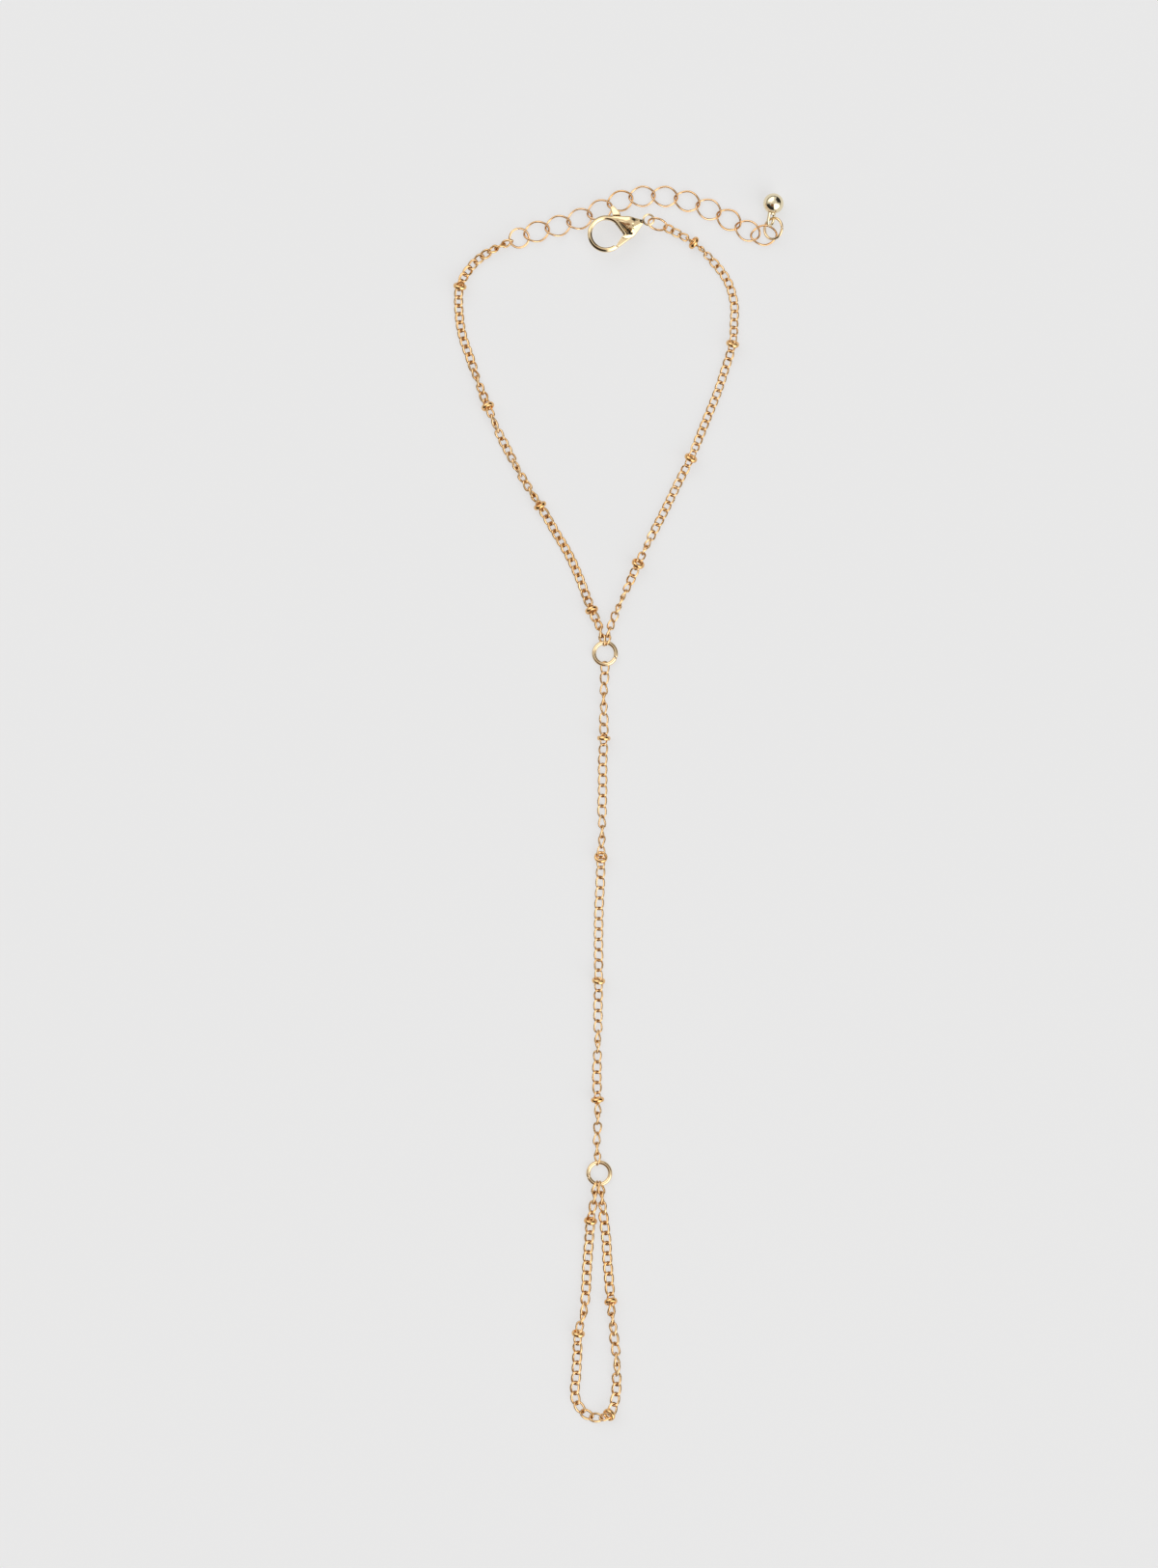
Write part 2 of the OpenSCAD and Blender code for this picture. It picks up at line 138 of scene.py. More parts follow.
@dataclass
class Board:
    """A node tree being built."""

    tree: NodeTree

    def node(self, kind: str, sockets: dict | None = None, **settings: str) -> Node:
        """Adds a node.

        Args:
            kind: type of the node.
            sockets: values or wires of its inputs, by number or by the name of one in use.
            **settings: the node's own settings, which are set first.

        Returns:
            The new node.
        """
        made = self.tree.nodes.new(kind)
        for name, value in settings.items():
            setattr(made, name, value)
        for key, value in (sockets or {}).items():
            named = (s for s in made.inputs if s.enabled and s.name == key)
            socket = made.inputs[key] if isinstance(key, int) else next(named)
            if isinstance(value, Wire):
                self.tree.links.new(value.socket, socket)
            else:
                socket.default_value = value
        return made

    def out(self, kind: str, sockets: dict | None = None, name: str = "", **settings: str) -> Wire:
        """Adds a node and gives one of its outputs.

        Args:
            kind: type of the node.
            sockets: values or wires of its inputs.
            name: the output's name, or nothing for the first one in use.
            **settings: the node's own settings.

        Returns:
            The output as a wire.
        """
        made = self.node(kind, sockets, **settings)
        return Wire(self, next(s for s in made.outputs if s.enabled and name in ("", s.name)))

    def vector(self, *parts: Wire | float) -> Wire:
        """Vector of three values."""
        return self.out("ShaderNodeCombineXYZ", dict(enumerate(parts)))

    def parts(self, vector: Wire) -> list[Wire]:
        """The three values of a vector."""
        return [Wire(self, s) for s in self.node("ShaderNodeSeparateXYZ", {"Vector": vector}).outputs]

    def blend(self, share: Wire, first: Wire | Colour, second: Colour) -> Wire:
        """Mix of two colours, with that share of the second one."""
        ends = {"A": first if isinstance(first, Wire) else (*first, 1.0), "B": (*second, 1.0)}
        return self.out("ShaderNodeMix", {"Factor": share, **ends}, "Result", data_type="RGBA")

    def noise(self, grain: float, detail: float, roughness: float = 0.5) -> Wire:
        """Noise over the piece's own coordinates, with grains of that size in metres."""
        place = {"Vector": self.out("ShaderNodeTexCoord", name="Object"), "Scale": 1 / grain}
        return self.out("ShaderNodeTexNoise", place | {"Detail": detail, "Roughness": roughness})

    def attribute(self, name: str, kind: str = "FLOAT") -> Wire:
        """A value that a geometry tree's points carry."""
        return self.out("GeometryNodeInputNamedAttribute", {"Name": name}, data_type=kind)

    def store(self, geometry: Wire, domain: str, name: str, value: Wire) -> Wire:
        """The geometry with a value stored on it."""
        sockets = {"Geometry": geometry, "Name": name, "Value": value}
        return self.out("GeometryNodeStoreNamedAttribute", sockets, domain=domain, data_type="FLOAT")

    def circle(self, points: int, radius: Wire | float = 1.0) -> Wire:
        """A flat circle as a curve."""
        return self.out("GeometryNodeCurvePrimitiveCircle", {"Resolution": points, "Radius": radius})

    def chance(self, seed: Wire) -> Wire:
        """A random value from -1 to 1 for each point or instance."""
        return self.out("FunctionNodeRandomValue", {"Min": -1.0, "Max": 1.0, "Seed": seed})

    def entries(self, numbers: Sequence[str], whole: Sequence[str] = ("Seed",)) -> dict[str, Wire]:
        """Gives a geometry tree its named inputs.

        Args:
            numbers: names of the inputs that are numbers.
            whole: names of those that are whole numbers.

        Returns:
            These inputs, "Geometry" and "Material" as wires, by name.
        """
        kinds = {"Geometry": "NodeSocketGeometry", "Material": "NodeSocketMaterial"}
        kinds |= dict.fromkeys(whole, "NodeSocketInt") | dict.fromkeys(numbers, "NodeSocketFloat")
        for name, kind in kinds.items():
            self.tree.interface.new_socket(name, in_out="INPUT", socket_type=kind)
        made = self.tree.nodes.new("NodeGroupInput")
        return {name: Wire(self, made.outputs[name]) for name in kinds}


def new_material(name: str) -> tuple[Material, Board]:
    """Makes a material without nodes.

    Args:
        name: its name.

    Returns:
        The material and the board of its nodes.
    """
    material = bpy.data.materials.new(name)
    material.use_nodes = True
    material.node_tree.nodes.clear()
    return material, Board(material.node_tree)


@dataclass(frozen=True)
class GoldFinish:
    """Plated metal, polished, with faint wear: its colour and gloss drift from place to place, and painted
    shade darkens its colour in the creases and hollows that a piece marks.
    """

    name: str
    tint: Colour
    deep: Colour
    gloss: Span
    # Colour of the painted shade in creases and hollows: near black unless a finish is given its own.
    shade_colour: Colour = (0.035, 0.033, 0.035)
    grain: float = 0.35 * MM
    scratch: float = 0.06 * MM
    relief: float = 0.004 * MM
    relief_share: float = 0.6
    cloud_relief: float = 2.0
    tone_share: float = 0.35
    wear_share: float = 0.4
    brush_share: float = 0.4
    worn: Span = (0.3, 0.7)

    def build(self) -> Material:
        """Builds the material.

        Returns:
            The material.
        """
        material, board = new_material(self.name)
        cloud = board.noise(self.grain, detail=3.0, roughness=0.6)
        brushed = board.noise(self.scratch, detail=2.0)
        tone = board.out("ShaderNodeAttribute", name="Fac", attribute_name="tone")
        crevice = board.out("ShaderNodeAttribute", name="Fac", attribute_name="crevice")
        wear = cloud.step(*self.worn)
        deep_share = (0.5 + tone * self.tone_share) * (1 - self.wear_share + wear * self.wear_share)
        low, high = self.gloss
        height = brushed + cloud * self.cloud_relief
        relief = {"Strength": self.relief_share, "Distance": self.relief, "Height": height}
        skin = {
            # Painted shade: the colour darkens towards the shade colour where the piece marks creases and
            # hollows.
            "Base Color": board.blend(crevice, board.blend(deep_share, self.tint, self.deep), self.shade_colour),
            "Metallic": 1.0,
            "Roughness": low + (brushed * self.brush_share + wear * (1 - self.brush_share)) * (high - low),
            "Normal": board.out("ShaderNodeBump", relief),
        }
        metal = board.out("ShaderNodeBsdfPrincipled", skin)
        board.node("ShaderNodeOutputMaterial", {"Surface": metal})
        return material


WIRE_GLOSS = (0.12, 0.24)
# Orange-brown painted shade for the chain and extender links, where they interlock.
NOOK_SHADE = (0.36, 0.17, 0.05)
FINE_CHAIN = GoldFinish("rose_gold_chain", (0.89, 0.62, 0.34), (0.80, 0.47, 0.18), WIRE_GLOSS, NOOK_SHADE)
EXTENDER_WIRE = GoldFinish("rose_gold_extender", (0.90, 0.61, 0.36), (0.80, 0.46, 0.19), WIRE_GLOSS, NOOK_SHADE)
YELLOW_RING = GoldFinish("yellow_gold_rings", (0.85, 0.66, 0.42), (0.77, 0.53, 0.27), (0.05, 0.11))
POLISHED_BEAD = GoldFinish("polished_gold_beads", (0.88, 0.57, 0.27), (0.78, 0.42, 0.14), (0.08, 0.18))
CLASP_GOLD = GoldFinish("pale_gold_clasp", (0.90, 0.72, 0.45), (0.83, 0.60, 0.32), (0.07, 0.16))
BALL_GOLD = GoldFinish("champagne_gold_drop", (0.89, 0.79, 0.57), (0.83, 0.70, 0.45), (0.07, 0.14))


def make_object(name: str, data: Mesh | Camera) -> Object:
    """Puts a mesh or a camera into the scene, at the origin.

    Args:
        name: name of the object.
        data: its mesh or camera.

    Returns:
        The object.
    """
    made = bpy.data.objects.new(name, data)
    bpy.context.scene.collection.objects.link(made)
    return made


def make_shell(name: str, points: Array, faces: Sequence, finish: Material, flat: int = 0) -> Object:
    """Makes a piece from points and faces.

    Args:
        name: name of the piece.
        points: its points, in metres.
        faces: point numbers of each face.
        finish: its material.
        flat: how many of the last faces are shaded flat.

    Returns:
        The object.
    """
    mesh = bpy.data.meshes.new(name)
    mesh.from_pydata(points.tolist(), [], faces)
    mesh.polygons.foreach_set("use_smooth", [True] * (len(faces) - flat) + [False] * flat)
    mesh.materials.append(finish)
    return make_object(name, mesh)


def hand_over(piece: Object, body: Body, nodes: Sequence[str]) -> None:
    """Fixes a finished piece to its CAD body.

    Args:
        piece: the piece.
        body: body that it rides on.
        nodes: CAD nodes that it stands for.
    """
    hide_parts(*nodes)
    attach(piece, body.value)
    LOG.info("%s: %d faces on %s, for %s", piece.name, len(piece.data.polygons), body.value, ", ".join(nodes))


def grow(
    name: str,
    places: Array,
    facts: dict[str, Array],
    tree: NodeTree,
    values: dict[str, object],
    nodes: Sequence[str],
) -> None:
    """Makes a piece by running a geometry tree on points, and fixes its plain mesh to the bracelet.

    Args:
        name: name of the piece.
        places: the points, in metres, joined into one line if they carry a roll.
        facts: values or vectors on the points, by attribute name.
        tree: the geometry tree.
        values: the tree's inputs, by name.
        nodes: CAD nodes that the piece stands for.
    """
    host = bpy.data.meshes.new("places")
    line = [(i, i + 1) for i in range(len(places) - 1)] if "roll" in facts else []
    host.from_pydata(places.tolist(), line, [])
    for label, numbers in facts.items():
        kind, key = ("FLOAT_VECTOR", "vector") if numbers.ndim == 2 else ("FLOAT", "value")
        host.attributes.new(label, kind, "POINT").data.foreach_set(key, numbers.astype(np.float32).ravel())
    piece = make_object(name, host)
    modifier = piece.modifiers.new(tree.name, "NODES")
    modifier.node_group = tree
    for item in tree.interface.items_tree:
        if item.in_out == "INPUT" and item.name in values:
            modifier[item.identifier] = values[item.name]
    bpy.context.view_layer.update()
    evaluated = piece.evaluated_get(bpy.context.evaluated_depsgraph_get())
    mesh = bpy.data.meshes.new_from_object(evaluated)
    piece.modifiers.remove(modifier)
    piece.data = mesh
    mesh.name = name
    bpy.data.meshes.remove(host)
    hand_over(piece, Body.BRACELET, nodes)


def middle(node: str) -> Array:
    """Middle of a CAD node's box, in metres."""
    low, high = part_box(node)
    return np.array((low + high) / 2)


def smooth(t: Array) -> Array:
    """Smooth step of values, from 0 at 0 to 1 at 1."""
    u = np.clip(t, 0, 1)
    return u * u * (3 - 2 * u)


@dataclass(frozen=True)
class Turnover:
    """A stretch where the chain lies on its edge, and turns over before and after."""

    start: Point
    end: Point | None = None


@dataclass(frozen=True)
class Route:
    """The line that a chain follows over the floor, in millimetres; beads are numbers of its points."""

    points: tuple[Point, ...]
    beads: tuple[int, ...]
    start_roll: float
    end_roll: float
    turnovers: tuple[Turnover, ...] = ()
    start_z: float | None = None
    steps: int = 8

    def line(self) -> Array:
        """Spline through the points, with the end directions carried on.

        Returns:
            Points of the line, in millimetres.
        """
        knots = np.array(self.points)
        knots = np.vstack([2 * knots[0] - knots[1], knots, 2 * knots[-1] - knots[-2]])
        a, b, c, d = (knots[i : len(knots) - 3 + i, None] for i in range(4))
        t = (np.arange(self.steps) / self.steps)[None, :, None]
        inside = 2 * b + (c - a) * t + (2 * a - 5 * b + 4 * c - d) * t**2 + (3 * b - a - 3 * c + d) * t**3
        return np.vstack([(inside / 2).reshape(-1, 2), knots[-2]])

    def headings(self) -> Array:
        """Direction of the chain at each bead, in radians."""
        aheads = (np.subtract(self.points[i + 1], self.points[i - 1]) for i in self.beads)
        return np.array([math.atan2(ahead[1], ahead[0]) for ahead in aheads])


@dataclass
class LinkChain:
    """A fine chain of twisted oval links along a route, hooked into the rings at its ends."""

    node: str
    route: Route
    pitch: float
    width: float
    wire: float
    twist: float = 35.0
    square: float = 0.18
    clearance: float = 0.08
    bead_height: float = 1.225
    neck: float = 0.6
    slope: float = 3.8
    slim: float = 0.8
    hook_links: float = 3.0
    flip: float = 90.0
    wobble: float = 5.0
    grid: float = 0.2
    samples: int = 41

    def _along(self) -> tuple[Array, Array]:
        """Places the chain's points.

        Returns:
            Evenly spaced points of the route and the length up to each, in millimetres.
        """
        line = self.route.line()
        at = np.concatenate([[0], np.cumsum(np.linalg.norm(np.diff(line, axis=0), axis=1))])
        s = np.linspace(0, at[-1], round(at[-1] / self.grid) + 1)
        return np.column_stack([np.interp(s, at, line[:, 0]), np.interp(s, at, line[:, 1])]), s

    def _roll(self, places: Array, s: Array) -> Array:
        """Works out how far the chain is turned about its own line.

        Args:
            places: points of the route.
            s: length up to each.

        Returns:
            The turn at each point, in radians.
        """
        reach = self.hook_links * self.pitch
        roll = self.route.start_roll * (1 - np.clip(s / reach, 0, 1))
        roll = roll + self.route.end_roll * np.clip((s - s[-1] + reach) / reach, 0, 1)
        for turnover in self.route.turnovers:
            ends = (turnover.start, turnover.end or turnover.start)
            first, last = (s[np.argmin(np.linalg.norm(places - end, axis=1))] for end in ends)
            roll = roll - self.flip * np.clip((s - first) / (2 * self.pitch) + 1, 0, 1)
            roll = roll - self.flip * np.clip((s - last) / (2 * self.pitch), 0, 1)
        return np.radians(roll)

    def _rest_height(self, roll: Array) -> Array:
        """Works out the height of the chain's line at which a link turned so far about it clears the floor.

        Args:
            roll: the turns, in radians.

        Returns:
            The heights, in millimetres.
        """
        along = np.linspace(-1, 1, self.samples)
        across = np.sqrt(1 - along**2) * (1 + self.square * along**2)
        reach = np.max(across * np.abs(np.sin(roll[:, None] + math.radians(self.twist) * along)), axis=1)
        return self.wire / 2 + (self.width - self.wire) / 2 * reach + self.clearance

    def build(self, tree: NodeTree, finish: Material) -> None:
        """Builds the chain.

        Args:
            tree: the geometry tree of a fine chain.
            finish: its material.
        """
        places, s = self._along()
        roll = self._roll(places, s)
        beads = [np.argmin(np.linalg.norm(places - self.route.points[i], axis=1)) for i in self.route.beads]
        off = np.min([np.abs(s - s[bead]) for bead in beads], axis=0)
        height = self._rest_height(roll)
        if self.route.start_z is not None:
            height = self.route.start_z + (height - self.route.start_z) * smooth(s / (2 * self.slope))
        open_part = smooth((off - self.neck) / (self.slope - self.neck))
        height = self.bead_height + (height - self.bead_height) * open_part
        points = np.column_stack([places, height]) * MM
        length = np.linalg.norm(np.diff(points, axis=0), axis=1).sum() / MM
        count = round(length / self.pitch) + 1
        slim = self.slim + (1 - self.slim) * smooth(off / self.neck - 1)
        values = {
            "Count": count,
            "Link length": (length / (count - 1) + 2 * self.wire) * MM,
            "Link width": self.width * MM,
            "Wire": self.wire * MM,
            "Twist": math.radians(self.twist),
            "Square": self.square,
            "Wobble": math.radians(self.wobble),
            "Seed": SEED + count,
            "Material": finish,
        }
        LOG.info("%s: %d links over %.1f mm", self.node, count, length)
        facts = {"roll": roll, "slim": slim}
        grow(self.node + "_links", points, facts, tree, values, [self.node])


LINK_SIZES = ("Link length", "Link width", "Wire", "Twist", "Square")
# Painted shade at a link's ends, where its neighbours hook through: where along the link it starts and is
# full, and how dark it gets.
LINK_CREVICE_SHADE = (0.65, 1.0, 0.6)


def link_shape(board: Board, sizes: dict[str, Wire], around: int, sides: int) -> Wire:
    """Adds the nodes of one twisted oval link, whose halves lean opposite ways to pass its neighbours.

    Args:
        board: the tree.
        sizes: the link's sizes; "Square" says how far the oval is drawn out into its corners.
        around: points along the link.
        sides: sides of its wire.

    Returns:
        The link as a mesh about the origin, with its length along X and painted shade marked at its ends.
    """
    x, y, _ = board.parts(board.out("GeometryNodeInputPosition"))
    along = x * (1.0 + y * y * sizes["Square"])
    across = y * (1.0 + x * x * sizes["Square"])
    lean = sizes["Twist"] * along
    side = (sizes["Link width"] - sizes["Wire"]) * 0.5 * across
    front = (sizes["Link length"] - sizes["Wire"]) * 0.5 * along
    # Painted shade: marks the link's ends, where the links interlock, to be darkened in the material.
    low, high, depth = LINK_CREVICE_SHADE
    circle = board.store(board.circle(around), "POINT", "crevice", (along * along).step(low, high) * depth)
    bent = {"Geometry": circle, "Position": board.vector(front, side * lean.cosine(), side * lean.sine())}
    line = board.out("GeometryNodeSetPosition", bent)
    section = board.circle(sides, sizes["Wire"] * 0.5)
    return board.out("GeometryNodeCurveToMesh", {"Curve": line, "Profile Curve": section})


def finish_instances(board: Board, places: dict[str, Wire], sizes: dict[str, Wire]) -> NodeTree:
    """Ends a tree of repeated pieces: a tone for each, real geometry, smooth shading and the material.

    Args:
        board: the tree.
        places: the pieces' "Points", "Instance", "Rotation" and "Scale".
        sizes: the tree's inputs.

    Returns:
        The tree.
    """
    placed = board.out("GeometryNodeInstanceOnPoints", places)
    toned = board.store(placed, "INSTANCE", "tone", board.chance(sizes["Seed"]))
    real = board.out("GeometryNodeRealizeInstances", {"Geometry": toned})
    rounded = board.out("GeometryNodeSetShadeSmooth", {"Geometry": real})
    finish = {"Geometry": rounded, "Material": sizes["Material"]}
    plated = board.out("GeometryNodeSetMaterial", finish)
    board.tree.interface.new_socket("Geometry", in_out="OUTPUT", socket_type="NodeSocketGeometry")
    board.node("NodeGroupOutput", {"Geometry": plated})
    return board.tree


def chain_tree() -> NodeTree:
    """Builds the geometry tree of a fine chain: links at even steps along a line.

    Returns:
        The tree.
    """
    board = Board(bpy.data.node_groups.new("link_chain", "GeometryNodeTree"))
    sizes = board.entries((*LINK_SIZES, "Wobble"), whole=("Count", "Seed"))
    curve = board.out("GeometryNodeMeshToCurve", {"Mesh": sizes["Geometry"]})
    level = board.out("GeometryNodeSetCurveNormal", {"Curve": curve}, mode="Z_UP")
    turned = board.out("GeometryNodeSetCurveTilt", {"Curve": level, "Tilt": board.attribute("roll")})
    count = {"Curve": turned, "Count": sizes["Count"]}
    stops = board.node("GeometryNodeCurveToPoints", count, mode="COUNT")
    points, ahead, side = (Wire(board, stops.outputs[name]) for name in ("Points", "Tangent", "Normal"))
    axes = {"Primary Axis": ahead, "Secondary Axis": side}
    facing = board.out("FunctionNodeAxesToRotation", axes, primary_axis="X", secondary_axis="Y")
    shake = board.vector(*(board.chance(sizes["Seed"] + float(n)) * sizes["Wobble"] for n in (1, 2, 3)))
    loose = board.out("FunctionNodeEulerToRotation", {"Euler": shake})
    turns = {"Rotation": facing, "Rotate By": loose}
    shaken = board.out("FunctionNodeRotateRotation", turns, rotation_space="LOCAL")
    slim = board.attribute("slim")
    link = link_shape(board, sizes, around=16, sides=6)
    places = {"Points": points, "Instance": link, "Rotation": shaken, "Scale": board.vector(1.0, slim, slim)}
    return finish_instances(board, places, sizes)


def placed_tree(name: str, numbers: Sequence[str], shape: Callable[..., Wire]) -> NodeTree:
    """Builds a geometry tree that puts one shape at each point, turned by the point's "turn" attribute.

    Args:
        name: name of the tree.
        numbers: names of the shape's own inputs.
        shape: adds the shape's nodes to a board, from its inputs.

    Returns:
        The tree.
    """
    board = Board(bpy.data.node_groups.new(name, "GeometryNodeTree"))
    sizes = board.entries(numbers)
    points = board.out("GeometryNodeMeshToPoints", {"Mesh": sizes["Geometry"]})
    turn = board.attribute("turn", "FLOAT_VECTOR")
    facing = board.out("FunctionNodeEulerToRotation", {"Euler": turn})
    places = {"Points": points, "Instance": shape(board, sizes), "Rotation": facing}
    return finish_instances(board, places, sizes)


@dataclass
class Extender:
    """The row of twelve twisted oval links that the clasp closes on."""

    links: int = 12
    length: float = 4.8
    width: float = 3.76
    wire: float = 0.36
    twist: float = 30.0
    square: float = -0.06
    around: int = 28
    sides: int = 8
    before: str = "start_ring"
    after: str = "end_ring"

    def build(self, finish: Material) -> None:
        """Builds the links as one piece.

        Args:
            finish: their material.
        """
        nodes = [f"extender_link_{i + 1:02d}" for i in range(self.links)]
        places = np.array([middle(n) for n in (self.before, *nodes, self.after)])
        ahead = places[2:] - places[:-2]
        turn = np.column_stack([np.zeros((self.links, 2)), np.arctan2(ahead[:, 1], ahead[:, 0])])
        values = {
            "Link length": self.length * MM,
            "Link width": self.width * MM,
            "Wire": self.wire * MM,
            "Twist": math.radians(self.twist),
            "Square": self.square,
            "Seed": SEED,
            "Material": finish,
        }
        link = partial(link_shape, around=self.around, sides=self.sides)
        tree = placed_tree("extender_links", LINK_SIZES, link)
        grow("extender_chain", places[1:-1], {"turn": turn}, tree, values, nodes)


BEAD_SIZES = ("Middle radius", "Half wall", "Half length")
BEAD_AROUND = 36
BEAD_SIDES = 14


def bead_shape(board: Board, sizes: dict[str, Wire]) -> Wire:
    """Adds the nodes of one bead: a round-edged ring whose hole runs along X.

    Args:
        board: the tree.
        sizes: the bead's sizes.

    Returns:
        The bead as a mesh about the origin.
    """
    ring = board.circle(BEAD_AROUND, sizes["Middle radius"])
    level = board.out("GeometryNodeSetCurveNormal", {"Curve": ring}, mode="Z_UP")
    stretch = board.vector(sizes["Half wall"], sizes["Half length"], 1.0)
    wall = {"Geometry": board.circle(BEAD_SIDES), "Scale": stretch}
    section = board.out("GeometryNodeTransform", wall)
    tube = board.out("GeometryNodeCurveToMesh", {"Curve": level, "Profile Curve": section})
    return board.out("GeometryNodeTransform", {"Geometry": tube, "Rotation": (0.0, math.pi / 2, 0.0)})


@dataclass
class BeadString:
    """The beads of one chain."""

    name: str
    first: int
    route: Route
    leans: dict[int, float]
    outer_d: float = 2.32
    hole_d: float = 1.3
    length: float = 0.78
    loose: float = 6.0
    lift: float = 0.3

    def build(self, tree: NodeTree, finish: Material) -> None:
        """Builds the beads of this chain as one piece.

        Args:
            tree: the geometry tree of the beads.
            finish: their material.
        """
        headings = self.route.headings()
        numbers = range(self.first, self.first + len(headings))
        nodes = [f"bead_{n:02d}" for n in numbers]
        places = np.array([middle(n) for n in nodes])
        chance = np.random.default_rng(SEED + self.first)
        turn = np.zeros((len(nodes), 3))
        for row, (number, heading) in enumerate(zip(numbers, headings)):
            pitch = math.radians(self.leans.get(number, chance.uniform(-self.loose, self.loose)))
            yaw = math.radians(chance.uniform(-self.loose, self.loose))
            turn[row] = (0.0, pitch, heading + yaw)
            rise = self.outer_d / 2 * (math.cos(pitch) - 1) + self.lift * self.length * abs(math.sin(pitch))
            places[row, 2] += max(0.0, rise) * MM
        values = {
            "Middle radius": (self.outer_d + self.hole_d) / 4 * MM,
            "Half wall": (self.outer_d - self.hole_d) / 4 * MM,
            "Half length": self.length / 2 * MM,
            "Seed": SEED + self.first,
            "Material": finish,
        }
        grow(self.name, places, {"turn": turn}, tree, values, nodes)


@dataclass
class JumpRing:
    """A round wire ring with the fine cut where it was bent shut."""

    node: str
    slot: Slot
    outer_d: float
    wire: float
    cut_at: float = 0.0
    turns: tuple[tuple[str, float], ...] = ()
    cut: float = 0.05
    edge_share: float = 0.2
    around: int = 72
    sides: int = 16

    def build(self, finish: Material) -> None:
        """Builds the ring.

        Args:
            finish: its material.
        """
        radius = (self.outer_d - self.wire) / 2
        thick = self.wire / 2
        edge = self.edge_share * thick
        gap = self.cut / 2 / radius
        start = gap + edge / radius
        inner = np.linspace(start, 2 * math.pi - start, self.around)
        at = np.concatenate([[gap], inner, [2 * math.pi - gap]]) + math.radians(self.cut_at)
        width = np.full(len(at), thick)
        width[[0, -1]] = thick - edge
        turn = 2 * math.pi * np.arange(self.sides) / self.sides
        reach = radius + width[:, None] * np.cos(turn)
        flat = (reach * np.cos(at)[:, None], reach * np.sin(at)[:, None])
        rows = np.stack([*flat, width[:, None] * np.sin(turn)], axis=2)
        pose = Matrix.Identity(3)
        for axis, degrees in self.turns:
            pose = pose @ Matrix.Rotation(math.radians(degrees), 3, axis)
        points = rows.reshape(-1, 3) @ np.array(pose).T * MM + middle(self.node)
        n = self.sides
        faces = [
            (i * n + k, (i + 1) * n + k, (i + 1) * n + (k + 1) % n, i * n + (k + 1) % n)
            for i in range(len(at) - 1)
            for k in range(n)
        ]
        faces.append(tuple(range(n)))
        faces.append(tuple(range(len(points) - 1, len(points) - n - 1, -1)))
        piece = make_shell(self.node + "_wire", points, faces, finish, flat=2)
        hand_over(piece, Body.BRACELET, [self.node])


def capsule(p: Array, a: Circle, b: Circle, lift: Array | float = 0.0) -> Array:
    """Distance to two circles and what their outer tangents enclose, or to two balls and their cone.

    Args:
        p: the points.
        a: centre and radius of the first circle.
        b: centre and radius of the second.
        lift: height of the points above the plane of the circles, for balls.

    Returns:
        The distance, negative inside.
    """
    x, y = p[0] - a[0], p[1] - a[1]
    dx, dy = b[0] - a[0], b[1] - a[1]
    h = dx * dx + dy * dy
    across = np.hypot(x * dy - y * dx, lift * math.sqrt(h)) / h
    along = (x * dx + y * dy) / h
    taper = a[2] - b[2]
    cx = math.sqrt(h - taper * taper)
    k = cx * along - taper * across
    n = across * across + along * along
    near_a = np.sqrt(h * n) - a[2]
    near_b = np.sqrt(h * np.maximum(n + 1 - 2 * along, 0)) - b[2]
    return np.where(k < 0, near_a, np.where(k > cx, near_b, cx * across + taper * along - a[2]))


def wedge(p: Array, start: float, end: float) -> Array:
    """Distance to a pie slice about the origin that runs from one direction to another.

    Args:
        p: the points.
        start: first direction, in degrees.
        end: last direction, larger than the first.

    Returns:
        The distance, negative inside.
    """
    a, b = math.radians(start), math.radians(end)
    before = p[0] * math.sin(a) - p[1] * math.cos(a)
    after = p[1] * math.cos(b) - p[0] * math.sin(b)
    return np.maximum(before, after) if end - start <= 180 else np.minimum(before, after)


def pillow(flat: Array, z: Array, half: float, edge: float) -> Array:
    """Distance to a flat shape given a thickness and rounded edges.

    Args:
        flat: distance to the flat shape.
        z: height of the points above its middle plane.
        half: half its thickness.
        edge: radius of its edges.

    Returns:
        The distance, negative inside.
    """
    wide = flat + edge
    tall = np.abs(z) - half + edge
    return np.minimum(np.maximum(wide, tall), 0) + np.hypot(np.maximum(wide, 0), np.maximum(tall, 0)) - edge


def weld(a: Array, b: Array, fillet: float) -> Array:
    """Smooth union of two distances, with a fillet of about that radius."""
    mix = np.maximum(fillet - np.abs(a - b), 0) / fillet
    return np.minimum(a, b) - mix * mix * fillet / 4


def carve(a: Array, b: Array, fillet: float) -> Array:
    """What is left of the first shape without the second, with a rounded edge."""
    return -weld(-a, b, fillet)


def weld_cut(a: Array, b: Array, fillet: float) -> Array:
    """Smooth intersection of two distances, with a rounded edge."""
    return -weld(-a, -b, fillet)


